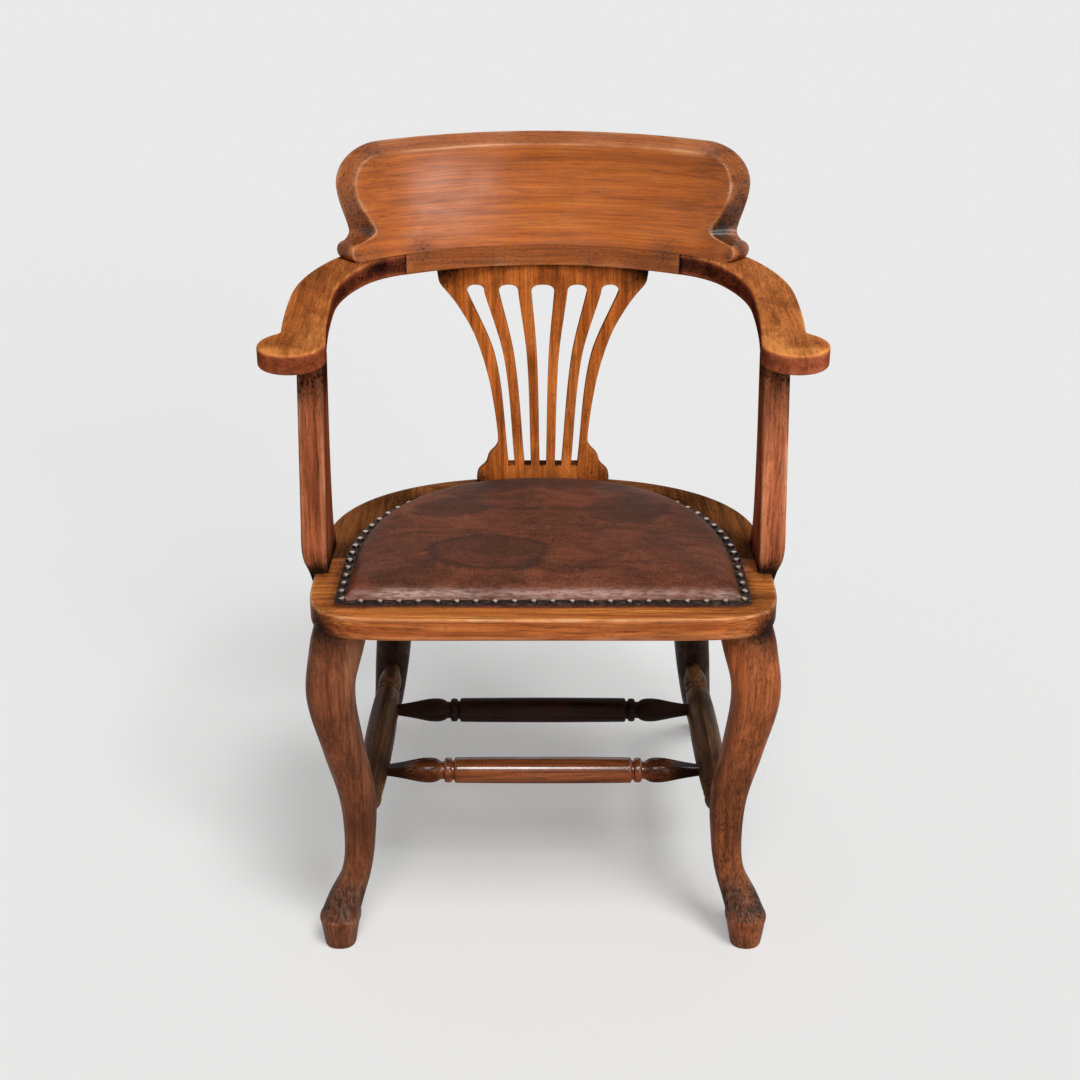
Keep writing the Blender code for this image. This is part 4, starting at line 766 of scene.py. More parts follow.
def nailShell(places):
    # Domed heads: radius r cos(t), height h sin(t), one quarter arc each, closed at the top
    t = np.linspace(0, np.pi / 2, 7)[:-1]
    around, rows = band["nailSides"], len(t) + 1
    turn = np.linspace(0, 2 * np.pi, around, endpoint=False)
    low = cover["base"] + cover["thickness"] + fit + band["thickness"] * 0.9
    radius = np.r_[band["nailRadius"] * 0.97, band["nailRadius"] * np.cos(t) ** 0.85]
    lift = np.r_[-band["nailFoot"], band["nailHeight"] * np.sin(t)]
    ring = lifted(radius[:, None, None] * np.stack([np.cos(turn), np.sin(turn)], -1), lift[:, None])
    one = np.concatenate([ring.reshape(-1, 3), [[0, 0, band["nailHeight"]]]])
    count = len(one)
    quads = gridFaces(rows, around, around=True)
    last = np.arange(around) + (rows - 1) * around
    caps = np.stack([last, np.roll(last, -1), np.full(around, count - 1)], -1)
    points = (lifted(places, low)[:, None, :] + one[None]).reshape(-1, 3)
    faces = []
    for first in range(0, len(places) * count, count):
        foot = list(range(first + around - 1, first - 1, -1))
        faces += (quads + first).tolist() + (caps + first).tolist() + [foot]
    shine = np.r_[np.repeat(1 - radius / band["nailRadius"], around), 1.0]
    return points, faces, np.tile(shine, len(places))


def makeSeatCover(hide, hair):
    skin = coverShell(coverAngles(), 2 * fit, 0.0, cover["thickness"])
    top = addPiece("seat_leather", [skin], hide, ("leather_cover",))
    stuffing = coverShell(coverAngles(), 0.0, None, -2 * fit)
    pad = addPiece("seat_hair_pad", [stuffing], hair, ("hair_pad",))


def makeBanding(hide, brass):
    bend = math.atan2(cover["front"] - band["width"], cover["half"])
    front, around = nailPlaces()
    angles = np.arctan2(around[:, 1] - cover["centreY"], around[:, 0])
    angles = np.where(angles > -np.pi / 2, angles, angles + 2 * np.pi)
    behind = int(np.argmax(angles > math.radians(band["seam"])))
    seam = (angles[behind - 1] + angles[behind]) / 2
    spans = (
        ("front_banding", -np.pi + bend, -bend), ("right_banding", -bend, seam),
        ("back_banding", seam, np.pi - seam), ("left_banding", np.pi - seam, np.pi + bend),
    )
    for name, start, end in spans:
        addPiece(name + "_strip", [bandShell(start, end)], hide, (name,))
        places = front if name.startswith("front") else around[(angles > start) & (angles < end)]
        addPiece(name.replace("banding", "nails"), [nailShell(places)], brass, ())


# Legs
frontLeg = dict(
    x=0.2115, y=-0.2124, steps=110, around=56, ridge=0.0378,
    rows=(  # height, sweep to the corner, half width, squareness
        (0.0000, 0.0262, 0.0172, 2.3), (0.0020, 0.0262, 0.0180, 2.3), (0.0170, 0.0260, 0.0205, 2.3),
        (0.0310, 0.0255, 0.0228, 2.3), (0.0345, 0.0253, 0.0238, 2.3), (0.0375, 0.0251, 0.0239, 2.3),
        (0.0392, 0.0248, 0.0230, 2.3), (0.0430, 0.0238, 0.0223, 2.35), (0.0600, 0.0175, 0.0207, 2.5),
        (0.0850, 0.0066, 0.0174, 2.7), (0.1200, 0.0014, 0.0175, 2.9), (0.1820, 0.0012, 0.0203, 3.1),
        (0.2520, 0.0125, 0.0224, 3.3), (0.3300, 0.0222, 0.0262, 3.5), (0.3880, 0.0125, 0.0300, 3.6),
        (0.4107, 0.0080, 0.0290, 3.6),
    ),
    knee=((0.205, 0, 0.365), (0.012, np.inf, 0.050)), kneeWear=dict(left=1.0, right=2.4),
    shinLeft=0.18, shinRight=0.40, shinTop=(0.08, 0.34), shinFoot=(0.0, 0.06),
    ankle=(0.058, 0.024), ankleFrom=(0.036, 0.041), ankleAmount=0.50,
)
rearLeg = dict(
    steps=80, around=48,
    rows=(  # height, X, Y, half width, squareness
        (0.0000, 0.2335, 0.2586, 0.0170, 3.0), (0.0020, 0.2332, 0.2578, 0.0175, 3.0),
        (0.0400, 0.2250, 0.2370, 0.0185, 3.2), (0.0800, 0.2170, 0.2120, 0.0200, 3.2),
        (0.1650, 0.2050, 0.1600, 0.0225, 3.2), (0.2500, 0.1945, 0.1150, 0.0235, 3.2),
        (0.3400, 0.1850, 0.0790, 0.0250, 3.2), (0.4107, 0.1750, 0.0620, 0.0255, 3.2),
    ),
)


def legShell(z, x, y, half, power, around, ridge=-1.0):
    # Superellipse sections, half / (|cos|^p + |sin|^p)^(1/p), stacked along the leg's centre line
    t = np.linspace(0, 2 * np.pi, around, endpoint=False) + np.pi / around
    c, s = np.cos(t), np.sin(t)
    p = power[:, None]
    reach = half[:, None] * (np.abs(c) ** p + np.abs(s) ** p) ** (-1 / p)
    rings = lifted(np.stack([x[:, None] + reach * c, y[:, None] + reach * s], -1), z[:, None])
    corner = np.abs(np.sin(2 * t)) ** 6 * 0.7
    line = 0.9 * np.exp(-(((z - ridge) / 0.0014) ** 2))
    return tubeShell(rings, np.maximum(corner, line[:, None]))


def makeLegs(frontFinishes, rearFinish):
    low = np.array([row[0] for row in frontLeg["rows"]])
    z = np.unique(np.r_[low, np.linspace(0, 0.06, 34), np.linspace(0.06, low[-1], frontLeg["steps"])])
    sweep, half, power = rowCurve(frontLeg["rows"], z).T
    zr = np.linspace(0, rearLeg["rows"][-1][0], rearLeg["steps"])
    zr = np.unique(np.r_[zr, 0.002, 0.001])
    xr, yr, halfR, powerR = rowCurve(rearLeg["rows"], zr).T
    for word, side in sides:
        x, y = side * (frontLeg["x"] + sweep), frontLeg["y"] - sweep
        points, faces, edge = legShell(z, x, y, half, power, frontLeg["around"], frontLeg["ridge"])
        edge = np.maximum(edge, frontLeg["kneeWear"][word] * softSpot(points, *frontLeg["knee"]))
        addOak(f"front_{word}_leg", [(points, faces, edge)], frontFinishes[word], legDarkening)
        shell = legShell(zr, side * xr, yr, halfR, powerR, rearLeg["around"])
        addOak(f"rear_{word}_leg", [shell], rearFinish)


def legDarkening(points):
    # Shins darker than the knees, and a dark ankle over the foot's ridge
    f, z = frontLeg, points[:, 2]
    shin = np.where(points[:, 0] < 0, f["shinLeft"], f["shinRight"]) * (1 - smoothStep(z, *f["shinTop"]))
    ankle = softBand(z, *f["ankle"]) * smoothStep(z, *f["ankleFrom"])
    return shin * smoothStep(z, *f["shinFoot"]) + f["ankleAmount"] * ankle


# Turned stretchers
stretcher = dict(
    z=0.165, shaft=0.0153, bead=0.0149, vase=0.0149, neck=0.0078, tenon=0.0066,
    firstGroove=0.0117, secondGroove=0.0106,
    sideX=0.203, sideY=-0.055, sideHalf=0.113, sideFront=0.164, sideRear=0.215, sideSwell=0.0030,
    crossFront=-0.1286, crossRear=0.0187, crossHalf=0.1060, crossEnd=0.200, crossSwell=0.0006,
    frontVase=0.030, rearVase=0.066, crossVase=0.0585, vaseFrom=0.0172, soilAndShade=0.58, dirtFrom=0.010, dirtTo=0.026,
)


def stretcherHalf(half, end, vase):
    # From the shaft outwards: rounded shoulder, groove, round bead, groove, then a vase that swells and tapers
    s = stretcher
    shaft, first, second, start = s["shaft"], s["firstGroove"], s["secondGroove"], half + s["vaseFrom"]
    t = np.linspace(0, np.pi, 11)
    rows = [(half - 0.0020, shaft), (half - 0.0008, shaft - 0.0004), (half - 0.0001, shaft - 0.0014)]
    rows += [(half + 0.0006, first), (half + 0.0028, first)]
    lift = s["bead"] - first - 0.0006
    rows += [(half + 0.0076 - 0.0044 * math.cos(a), first + 0.0006 + lift * math.sin(a) ** 0.7) for a in t]
    rows += [(half + 0.0126, second), (half + 0.0164, second)]
    swell = (  # share of the vase, radius
        (0.00, 0.0112), (0.05, 0.0130), (0.13, 0.0145), (0.24, s["vase"]), (0.38, 0.0144), (0.55, 0.0126),
        (0.76, 0.0101), (1.0, s["neck"]),
    )
    at = np.linspace(0, 1, 26)
    rows += [(start + a * vase, float(r)) for a, r in zip(at, rowCurve(swell, at)[:, 0])]
    return rows + [(end - 0.5 * (end - start - vase), s["tenon"]), (end, s["tenon"])]


def stretcherShell(middle, towards, half, ends, vases, swell):
    # Both halves about a shaft that swells by 1 - (distance / half)^2
    low = [(-at, r) for at, r in reversed(stretcherHalf(half, ends[0], vases[0]))]
    run = np.linspace(-half + 0.004, half - 0.004, 30)
    shaft = [(at, stretcher["shaft"] + swell * (1 - (at / half) ** 2)) for at in run]
    return turnedShell(low + shaft + stretcherHalf(half, ends[1], vases[1]), middle, towards)


def makeStretchers(sideFinish, frontFinish, rearFinish):
    s = stretcher
    for word, side in sides:
        x = side * s["sideX"]
        middle, towards = (x, s["sideY"], s["z"]), (x, 1.0, s["z"])
        ends, vases = (s["sideFront"], s["sideRear"]), (s["frontVase"], s["rearVase"])
        shell = stretcherShell(middle, towards, s["sideHalf"], ends, vases, s["sideSwell"])
        addOak(f"{word}_stretcher", [shell], sideFinish)
    for word, y, finish in (("front", s["crossFront"], frontFinish), ("rear", s["crossRear"], rearFinish)):
        ends, vases = (s["crossEnd"],) * 2, (s["crossVase"],) * 2
        shell = stretcherShell((0, y, s["z"]), (1, y, s["z"]), s["crossHalf"], ends, vases, s["crossSwell"])
        addOak(f"{word}_cross_stretcher", [shell], finish, stretcherGrime)


def stretcherGrime(points):
    # Vases darker than the shaft between them
    s = stretcher
    past = np.abs(points[:, 0]) - s["crossHalf"]
    return s["soilAndShade"] * smoothStep(past, s["dirtFrom"], s["dirtTo"])


# Bow of the arms and crest
bow = dict(
    half=0.2408, backY=0.198, backRadius=0.375, backTurn=28.0, cornerTurn=62.0, sideRadius=0.225,
    frontRadius=1.25, frontTop=0.698, frontY=-0.170, topSlope=0.082, underSlope=0.070,
)
arm = dict(
    thickness=0.022, width=0.049, topRound=0.0030, lowRound=0.0030, jointRun=0.174,
    scrollY=-0.143, scrollRadius=0.0365, fillet=0.012, tip=-82.0, stations=150,
    # Worn patches where hands rest and at the scroll's tip; the tip patch is also a painted highlight
    hands=((0.247, -0.128, 0), (0.012, 0.052, np.inf)), tipRubAndHighlight=((0.268, -0.172, 0), (0.034, 0.012, np.inf)),
    # The inner face's darkening is painted shade; the back half is darker
    insideShade=0.52, jointDirt=0.8, jointReach=0.0015, backDark=0.26,
)


def backRun(points):
    # Distance from the middle along the bow's back arc
    deep = points[:, 1] - bow["backY"] + bow["backRadius"]
    return bow["backRadius"] * np.arctan2(np.abs(points[:, 0]), deep)


def bowArcs():
    # Radius and last heading of the back, corner, side and front arcs; the corner's radius makes up the width
    first, second = math.radians(bow["backTurn"]), math.radians(bow["cornerTurn"])
    back, side, front = bow["backRadius"], bow["sideRadius"], bow["frontRadius"]
    rest = bow["half"] - back * math.sin(first) - side * (1 - math.sin(second))
    corner = rest / (math.sin(second) - math.sin(first))
    return (back, first), (corner, second), (side, np.pi / 2), (front, np.pi)


def bowPoint(run, out):
    # Inner edge walked along its four arcs, then a step outwards square to it
    run, out = np.broadcast_arrays(np.asarray(run, float), np.asarray(out, float))
    left, heading = np.abs(run), np.zeros(run.shape)
    x, y = np.zeros(run.shape), np.full(run.shape, bow["backY"])
    start = 0.0
    for radius, last in bowArcs():
        step = np.clip(left / radius, 0, last - start)
        x = x + radius * (np.sin(heading + step) - np.sin(heading))
        y = y + radius * (np.cos(heading + step) - np.cos(heading))
        heading = heading + step
        left, start = left - step * radius, last
    x, y = x + out * np.sin(heading), y + out * np.cos(heading)
    return np.where(run < 0, -1.0, 1.0) * x, y


def crestPoint(run, out):
    # The back arc alone, carried on past the joints where the arms turn away from it
    turn, reach = np.asarray(run) / bow["backRadius"], bow["backRadius"] + np.asarray(out)
    return reach * np.sin(turn), bow["backY"] - bow["backRadius"] + reach * np.cos(turn)


def bowTop(y):
    return bow["frontTop"] + bow["topSlope"] * (y - bow["frontY"])


def bowUnder(y):
    return bow["frontTop"] - arm["thickness"] + bow["underSlope"] * (y - bow["frontY"])


def armEdges():
    # Inner edge to the tip of the scroll, and outer edge with its fillet to the same tip
    arcs = bowArcs()
    headings = (0.0,) + tuple(last for _, last in arcs)
    widest = sum(radius * (last - start) for (radius, last), start in zip(arcs[:-1], headings))
    r, f, front, width = arm["scrollRadius"], arm["fillet"], bow["frontRadius"], arm["width"]
    sweep = math.asin((float(bowPoint(widest, 0.0)[1]) - arm["scrollY"]) / front)
    toScroll, toFillet = front + r, front + width + f
    turn = math.acos((toScroll**2 + toFillet**2 - (r + f) ** 2) / (2 * toScroll * toFillet))
    scrollRun = widest + front * sweep
    filletRun = scrollRun - front * turn
    centre, bend = np.array(bowPoint(scrollRun, r)), np.array(bowPoint(filletRun, width + f))
    leave = math.atan2(*(bend - centre)[::-1])
    tip = math.radians(arm["tip"])

    def arc(middle, radius, start, end, count):
        t = np.linspace(start, end, count)
        return middle + radius * np.stack([np.cos(t), np.sin(t)], -1)

    begin = arm["jointRun"] + fit
    inner = np.stack(bowPoint(np.linspace(begin, scrollRun, 120), 0.0), -1)
    outer = np.stack(bowPoint(np.linspace(begin, filletRun, 120), width), -1)
    inner = np.concatenate([inner, arc(centre, r, -np.pi - sweep, tip, 80)[1:]])
    fillet = arc(bend, f, np.pi - sweep + turn, np.pi + leave, 24)[1:]
    outer = np.concatenate([outer, fillet, arc(centre, r, leave, tip, 90)[1:]])
    return resample(inner, 400), resample(outer, 400), np.linspace(0, 1, arm["stations"])


def pick(line, share):
    at = share * (len(line) - 1)
    return np.stack([np.interp(at, np.arange(len(line)), line[:, c]) for c in range(2)], -1)


def makeArms(finishes):
    innerLine, outerLine, even = armEdges()
    along = 1 - (1 - even) ** 1.35
    inner, outer = pick(innerLine, along), pick(outerLine, along)
    across = closeToEnds(np.array([0, 0.25, 0.8, 1.7, 2.9, 4.4, 6.5]) / 49, 9)
    for word, side in sides:
        flat = inner[:, None, :] + across[None, :, None] * (outer - inner)[:, None, :]
        flat = flat * np.array([side, 1])

        def place(a, b, depth):
            return np.stack([a, b, bowUnder(b) + depth], -1)

        def joint(start, end):
            near = [np.abs(points[:, None, :] - flat[0]).sum(2).min(1) for points in (start, end)]
            return near[0] + near[1] < 1e-7

        thick = bowTop(flat[..., 1]) - bowUnder(flat[..., 1])
        rounds = arm["lowRound"], arm["topRound"]
        points, faces, worn = boardShell(flat, 0.0, thick, *rounds, place, square=joint)
        wall = edgeGap(np.stack([np.abs(points[:, 0]), points[:, 1]], -1), innerLine[:-1], innerLine[1:])
        # Painted shade along the inner face of the arm
        inside = softBand(wall, 0, 0.0012) * smoothStep(points[:, 1], -0.168, -0.130) * (1 - worn)
        above = smoothStep(points[:, 2] - bowTop(points[:, 1]), -0.004, -0.001)
        # Worn patches, the one at the scroll's tip also painting its highlight
        rubAndHighlight = np.maximum(softSpot(points, *arm["hands"]), softSpot(points, *arm["tipRubAndHighlight"]))
        edge = np.clip(worn * (0.4 + 0.6 * above) + above * rubAndHighlight, 0, 1)

        def dirtAndShade(at):
            return armDarkening(at) + arm["insideShade"] * inside

        addOak(f"{word}_arm", [(points, faces, edge)], finishes[word], dirtAndShade)


def armDarkening(points):
    # Dark line at the joint with the crest, and a darker back half
    past = np.clip(backRun(points) - arm["jointRun"], 0, None)
    joint = np.exp(-(past / arm["jointReach"])) * (points[:, 1] > 0.05)
    return arm["jointDirt"] * joint + arm["backDark"] * smoothStep(points[:, 1], -0.06, 0.10)


# Crest: leaning tablet with ears and toes over a band between the arms
crest = dict(
    frontHeight=0.1166, height=0.1268, lean=0.24, thickness=0.031, foot=0.033, dish=0.0062, crease=0.0006,
    toeHeight=0.019, neckHeight=0.031, earHeight=0.080, toeRound=0.008,
    frontRuns=(0.2457, 0.2087, 0.2272), backRuns=(0.2503, 0.2321, 0.2401),  # at toe, neck and ear
    frontCorner=0.034, backCorner=0.058, arris=0.0016, backRound=0.0060, bandRound=0.0011, bandBack=0.004,
    bandHeight=0.027, bandInto=0.0008,
    # Border, neck and top edge darker; the right border and the band under the tablet get painted shade
    wallDark=0.23, neckDark=0.22, rightShade=1.6, rollDark=0.17, bandShade=0.16,
)


def earRun(h, runs, top, corner):
    # Half length of the tablet at a height: round toe, hollow neck, swelling ear, quarter ellipse to the top
    c = crest
    toe, neck, ear = runs
    toeTop, neckTop, earTop = c["toeHeight"], c["neckHeight"], c["earHeight"]
    low = toe - (1 - np.sqrt(np.clip(1 - (2 * h / toeTop - 1) ** 2, 0, 1))) * c["toeRound"]
    fade = 1 - np.clip((h - toeTop) / (neckTop - toeTop), 0, 1)
    cove = neck + (toe - c["toeRound"] - neck) * fade**2
    swell = np.sin(np.clip((h - neckTop) / (earTop - neckTop), 0, 1) * np.pi / 2) ** 1.4
    rise = np.clip((h - earTop) / (top - earTop), 0, 1)
    high = ear - corner * (1 - np.sqrt(1 - rise**2))
    waist = neck + (ear - neck) * swell
    return np.select([h <= toeTop, h <= neckTop, h <= earTop], [low, cove, waist], high)


def crestTablet():
    # Front face on a grid of run share and height; towards the back every point moves out to the longer,
    # taller back outline, so the border shows as a slanted edge round a crisp front arris
    c = crest
    top, toe, neck, ear = c["frontHeight"], c["toeHeight"], c["neckHeight"], c["earHeight"]
    front, back = (c["frontRuns"], top, c["frontCorner"]), (c["backRuns"], c["height"], c["backCorner"])
    t = np.linspace(0, np.pi / 2, 34)
    h = np.unique(np.r_[
        toe * (1 - np.cos(np.linspace(0, np.pi, 22))) / 2, np.linspace(toe, neck, 16),
        np.linspace(neck, ear, 36), ear + (top - ear) * np.sin(t),
    ].round(7))
    share = 2 * closeToEnds(np.array([0, 0.3, 0.8, 1.6, 2.7, 4.2, 6.5, 10, 15]) / 440, 80) - 1
    run = earRun(h, *front)[:, None] * share
    flat = lifted(run[..., None], h[:, None])
    rise = (h / top)[:, None]
    hollow = c["dish"] * 2 * rise * (1 - rise) * (1 - np.abs(share) ** 6)
    low = np.clip(1 - h / (1.3 * neck), 0, 1)[:, None]
    near = c["lean"] * h[:, None] + 2 * hollow
    far = c["lean"] * h[:, None] + hollow + c["thickness"] + (c["foot"] - c["thickness"]) * low**1.5

    def place(a, b, depth):
        behind = np.clip((depth - c["lean"] * b) / (c["thickness"] - c["backRound"]), 0, 1)
        high = b * c["height"] / top
        longer = earRun(high, *back) / earRun(b, *front)
        x, y = crestPoint(a * (1 + behind * (longer - 1)), depth)
        return np.stack([x, y, bowTop(y) + fit + b + behind * (high - b)], -1)

    def foot(start, end):
        return (start[:, 1] < 1e-6) & (end[:, 1] < 1e-6)

    return boardShell(flat, near, far, c["arris"], c["backRound"], place, square=foot)


def crestBand():
    # Strip between the arms, from their underside to just inside the tablet
    c = crest
    run = np.linspace(-1, 1, 90) * (arm["jointRun"] - fit)
    share = closeToEnds(np.array([0, 0.25, 0.6, 1.1, 2.0]) / 26, 3)
    flat = np.stack(np.meshgrid(run, share * c["bandHeight"], indexing="ij"), -1)

    def place(a, b, depth):
        x, y = bowPoint(a, depth)
        low = bowUnder(y)
        return np.stack([x, y, low + b / c["bandHeight"] * (bowTop(y) + c["bandInto"] - low)], -1)

    def top(start, end):
        return np.minimum(start[:, 1], end[:, 1]) > c["bandHeight"] - 0.0001

    return boardShell(flat, c["crease"], arm["width"], c["bandRound"], c["bandBack"], place, square=top)


def makeCrest(finish):
    addOak("crest_rail", [crestTablet(), crestBand()], finish, crestShadeAndDark)


def crestShadeAndDark(points):
    # Border beyond the front outline darker, most of all below the ears, with painted shade deepening it on the
    # right; top edge darker, and painted shade on the band under the tablet
    c = crest
    top = c["frontHeight"]
    h = points[:, 2] - bowTop(points[:, 1])
    past = backRun(points) - earRun(np.clip(h, 0, top), c["frontRuns"], top, c["frontCorner"])
    fade = 0.030 * smoothStep(h, top - 0.020, top)
    wall = smoothStep(past, 0.0004 - fade, 0.0030 + fade) * (h > 0.0005)
    # Painted shade: the right border darker
    wall = wall * np.where(points[:, 0] > 0, c["rightShade"], 1.0)
    roll = smoothStep(h - top, -0.0005, 0.0020)
    low = 1 - smoothStep(h, -0.0010, 0.0010)
    border = c["wallDark"] + c["neckDark"] * (1 - smoothStep(h, 0.050, 0.085))
    return wall * border + c["rollDark"] * roll + c["bandShade"] * low


# Splat with five slots
splat = dict(
    footY=0.1235, lean=0.30, thickness=0.014, arris=0.0013,
    slotFoot=0.0235, slotMiddle=0.149, slotTop=0.238, arch=0.009,
    outline=(  # height over the seat, half width
        (0.000, 0.0830), (0.008, 0.0842), (0.015, 0.0815), (0.0225, 0.0733), (0.034, 0.0685), (0.0425, 0.0600),
        (0.050, 0.0572), (0.075, 0.0594), (0.099, 0.0632), (0.123, 0.0680), (0.147, 0.0747), (0.171, 0.0833),
        (0.189, 0.0918), (0.207, 0.1032), (0.2194, 0.1121), (0.2302, 0.1216), (0.2374, 0.1282), (0.2434, 0.1315),
        (0.262, 0.1345),
    ),
    slots=(  # centre, then half width, at foot, middle and top
        ((-0.0400, -0.0545, -0.0850), (0.0040, 0.0056, 0.0110)),
        ((-0.0195, -0.0280, -0.0435), (0.0041, 0.0080, 0.0123)),
        ((0.0, 0.0, 0.0), (0.0041, 0.0073, 0.0145)),
        ((0.0195, 0.0280, 0.0435), (0.0041, 0.0080, 0.0123)),
        ((0.0400, 0.0545, 0.0850), (0.0040, 0.0056, 0.0110)),
    ),
    # Painted shade along the top edge under the band, dirt in the slot floors, darker wings and bars
    topShade=0.5, slotDirt=0.9, wingDark=0.36, barDark=0.14,
)


def makeSplat(finish):
    # Rows up the board; columns follow its outer edges and both sides of every slot, and slot cells stay open
    s = splat
    low = seat["top"] + fit
    high = bowUnder(bow["backY"]) - fit
    foot, crown, tall = s["slotFoot"], s["slotTop"], s["outline"][-1][0]
    scale = (high - low) / tall
    spring = crown - s["arch"]
    near = np.array([0, 0.3, 0.8, 1.5, 2.6]) / 1000
    t = np.linspace(0, np.pi / 2, 14)
    h = np.unique(np.r_[
        np.linspace(0, foot - near[-1], 16), foot - near, foot + near, np.linspace(foot, spring, 70),
        spring + s["arch"] * np.sin(t), crown + near, np.linspace(crown + near[-1], tall, 12),
    ].round(7))
    half = rowCurve(s["outline"], h)[:, 0]
    edges = [-half]
    closing = np.clip(1 - np.clip((h - spring) / s["arch"], 0, 1) ** 2.5, 0, 1) ** 0.4
    arch = np.where(h <= crown, closing, np.clip((h - crown) / 0.004, 0, 0.6))
    for centres, widths in s["slots"]:
        rows = list(zip((foot, s["slotMiddle"], spring), centres, widths))
        centre, width = rowCurve(rows, np.clip(h, foot, spring)).T
        edges += [centre - width * arch, centre + width * arch]
    edges = np.stack(edges + [half], -1)
    bar = closeToEnds([0, 0.03, 0.09, 0.18, 0.3], 1)
    hole = np.linspace(0, 1, 5)
    columns, kinds = [edges[:, :1]], []
    for i in range(edges.shape[1] - 1):
        steps = (bar if i % 2 == 0 else hole)[1:]
        left, right = edges[:, i : i + 1], edges[:, i + 1 : i + 2]
        columns.append(left + steps * (right - left))
        kinds += [i % 2 == 1] * len(steps)
    columns = np.concatenate(columns, 1)
    flat = lifted(columns[..., None], (low + h * scale)[:, None])
    middle = (h[:-1] + h[1:]) / 2
    openRow = (middle > foot) & (middle < crown)
    solid = ~(openRow[:, None] & np.array(kinds)[None, :])

    def place(a, b, depth):
        return np.stack([a, s["footY"] + s["lean"] * (b - seat["top"]) + depth, b], -1)

    def ends(start, end):
        highest, lowest = np.maximum(start[:, 1], end[:, 1]), np.minimum(start[:, 1], end[:, 1])
        return (highest < low + 1e-6) | (lowest > high - 1e-6)

    points, faces, edge = boardShell(flat, 0.0, s["thickness"], s["arris"], s["arris"], place, solid, ends)
    # Painted light: the lower middle of the splat takes the worn colour
    footLight = 1 - smoothStep(points[:, 2], 0.445, 0.530)
    footLight = footLight * (1 - smoothStep(np.abs(points[:, 0]), 0.030, 0.055))
    addOak("splat", [(points, faces, np.maximum(edge, footLight))], finish, splatDirtAndShade)


def splatDirtAndShade(points):
    # Painted shade on the upper edge under the band, dirt on the floors of the slots, darker wings of the foot
    # and lower bars
    s, z = splat, points[:, 2]
    top = smoothStep(z, 0.690, 0.706)
    middles = np.array([centres[0] for centres, _ in s["slots"]])
    inSlot = np.abs(points[:, :1] - middles).min(1) < 0.0044
    floor = softBand(z, seat["top"] + s["slotFoot"], 0.0016) * inSlot
    wings = smoothStep(np.abs(points[:, 0]), 0.046, 0.072) * (1 - smoothStep(z, 0.455, 0.500))
    bars = softBand(z, 0.505, 0.045)
    return s["topShade"] * top + s["slotDirt"] * floor + s["wingDark"] * wings + s["barDark"] * bars


# Arm supports and the plugs over their screws
support = dict(
    innerX=0.2410, thickness=0.0285, lean=0.0062, leanFrom=0.150, arris=0.0026, steps=70,
    plugRadius=0.0046, plugRise=0.0022, plugDepth=0.0042, screwInset=0.018, screwHeight=0.0185,
    rows=(  # share of height, front edge and back edge from the scroll's centre, outer face
        (0.000, -0.0150, 0.0720, -0.0145), (0.100, -0.0150, 0.0720, -0.0080), (0.150, -0.0148, 0.0670, -0.0025),
        (0.210, -0.0145, 0.0560, 0.0), (0.340, -0.0135, 0.0460, 0.0), (0.560, -0.0115, 0.0380, 0.0),
        (0.790, -0.0090, 0.0345, 0.0), (1.000, -0.0070, 0.0330, 0.0),
    ),
    # Inner face darker; painted shade on the top under the arm, deeper on the left; dirt at the foot
    innerDark=0.16, topShadeLeft=0.62, topShadeRight=0.30, footDirt=0.34,
)


def makeSupports(finishes, plugFinish):
    s = support
    share = np.linspace(0, 1, s["steps"])
    front, back, out = rowCurve(s["rows"], share).T
    across = closeToEnds(np.array([0, 0.2, 0.6, 1.2, 2.1, 3.4, 5.5]) / 48, 7)
    y = arm["scrollY"] + front[:, None] + across * (back - front)[:, None]
    z = seat["bottom"] + share[:, None] * (bowUnder(y) - fit - seat["bottom"])
    flat = np.stack([y, z], -1)
    lean = s["lean"] * np.clip((share - s["leanFrom"]) / (1 - s["leanFrom"]), 0, None)
    near = np.broadcast_to((s["innerX"] - lean)[:, None], y.shape)
    far = near + (s["thickness"] + out)[:, None]
    topZ, lowZ = z[-1].min(), seat["bottom"]
    _, frontFoot, backFoot, footFace = s["rows"][0]
    r, rise, deep = s["plugRadius"], s["plugRise"], s["plugDepth"]
    dome = [(0, r)]
    dome += [(deep + up * rise, wide * r) for up, wide in ((0.6, 1), (0.85, 0.93), (0.97, 0.75), (1, 0.4))]

    def ends(start, end):
        highest, lowest = np.maximum(start[:, 1], end[:, 1]), np.minimum(start[:, 1], end[:, 1])
        return (lowest > topZ - 1e-4) | (highest < lowZ + 1e-6)

    for word, side in sides:
        def place(a, b, depth):
            return np.stack([side * depth, a, b], -1)

        shell = boardShell(flat, near, far, s["arris"], s["arris"], place, square=ends)
        addOak(f"{word}_arm_support", [shell], finishes[word], supportDirtAndShade)
        x = side * (s["innerX"] + s["thickness"] + footFace - deep)
        for letter, along in (("a", frontFoot + s["screwInset"]), ("b", backFoot - s["screwInset"])):
            start = np.array([x, arm["scrollY"] + along, seat["bottom"] + s["screwHeight"]])
            plug = turnedShell(dome, start, start + (side, 0, 0), 24)
            addOak(f"{word}_support_plug_{letter}", [plug], plugFinish)


def supportDirtAndShade(points):
    # Darker inner face, painted shade on the top under the arm (deeper on the left), and dirt about the foot
    s, z = support, points[:, 2]
    lean = s["lean"] * smoothStep(z, 0.40, 0.74)
    inner = 1 - smoothStep(np.abs(points[:, 0]) + lean, s["innerX"] + 0.001, s["innerX"] + 0.005)
    # Painted shade under the arm, deeper on the left
    top = np.where(points[:, 0] < 0, s["topShadeLeft"], s["topShadeRight"]) * smoothStep(z, 0.60, 0.68)
    foot = 1 - smoothStep(z, seat["top"], seat["top"] + 0.022)
    return s["innerDark"] * inner + top + s["footDirt"] * foot


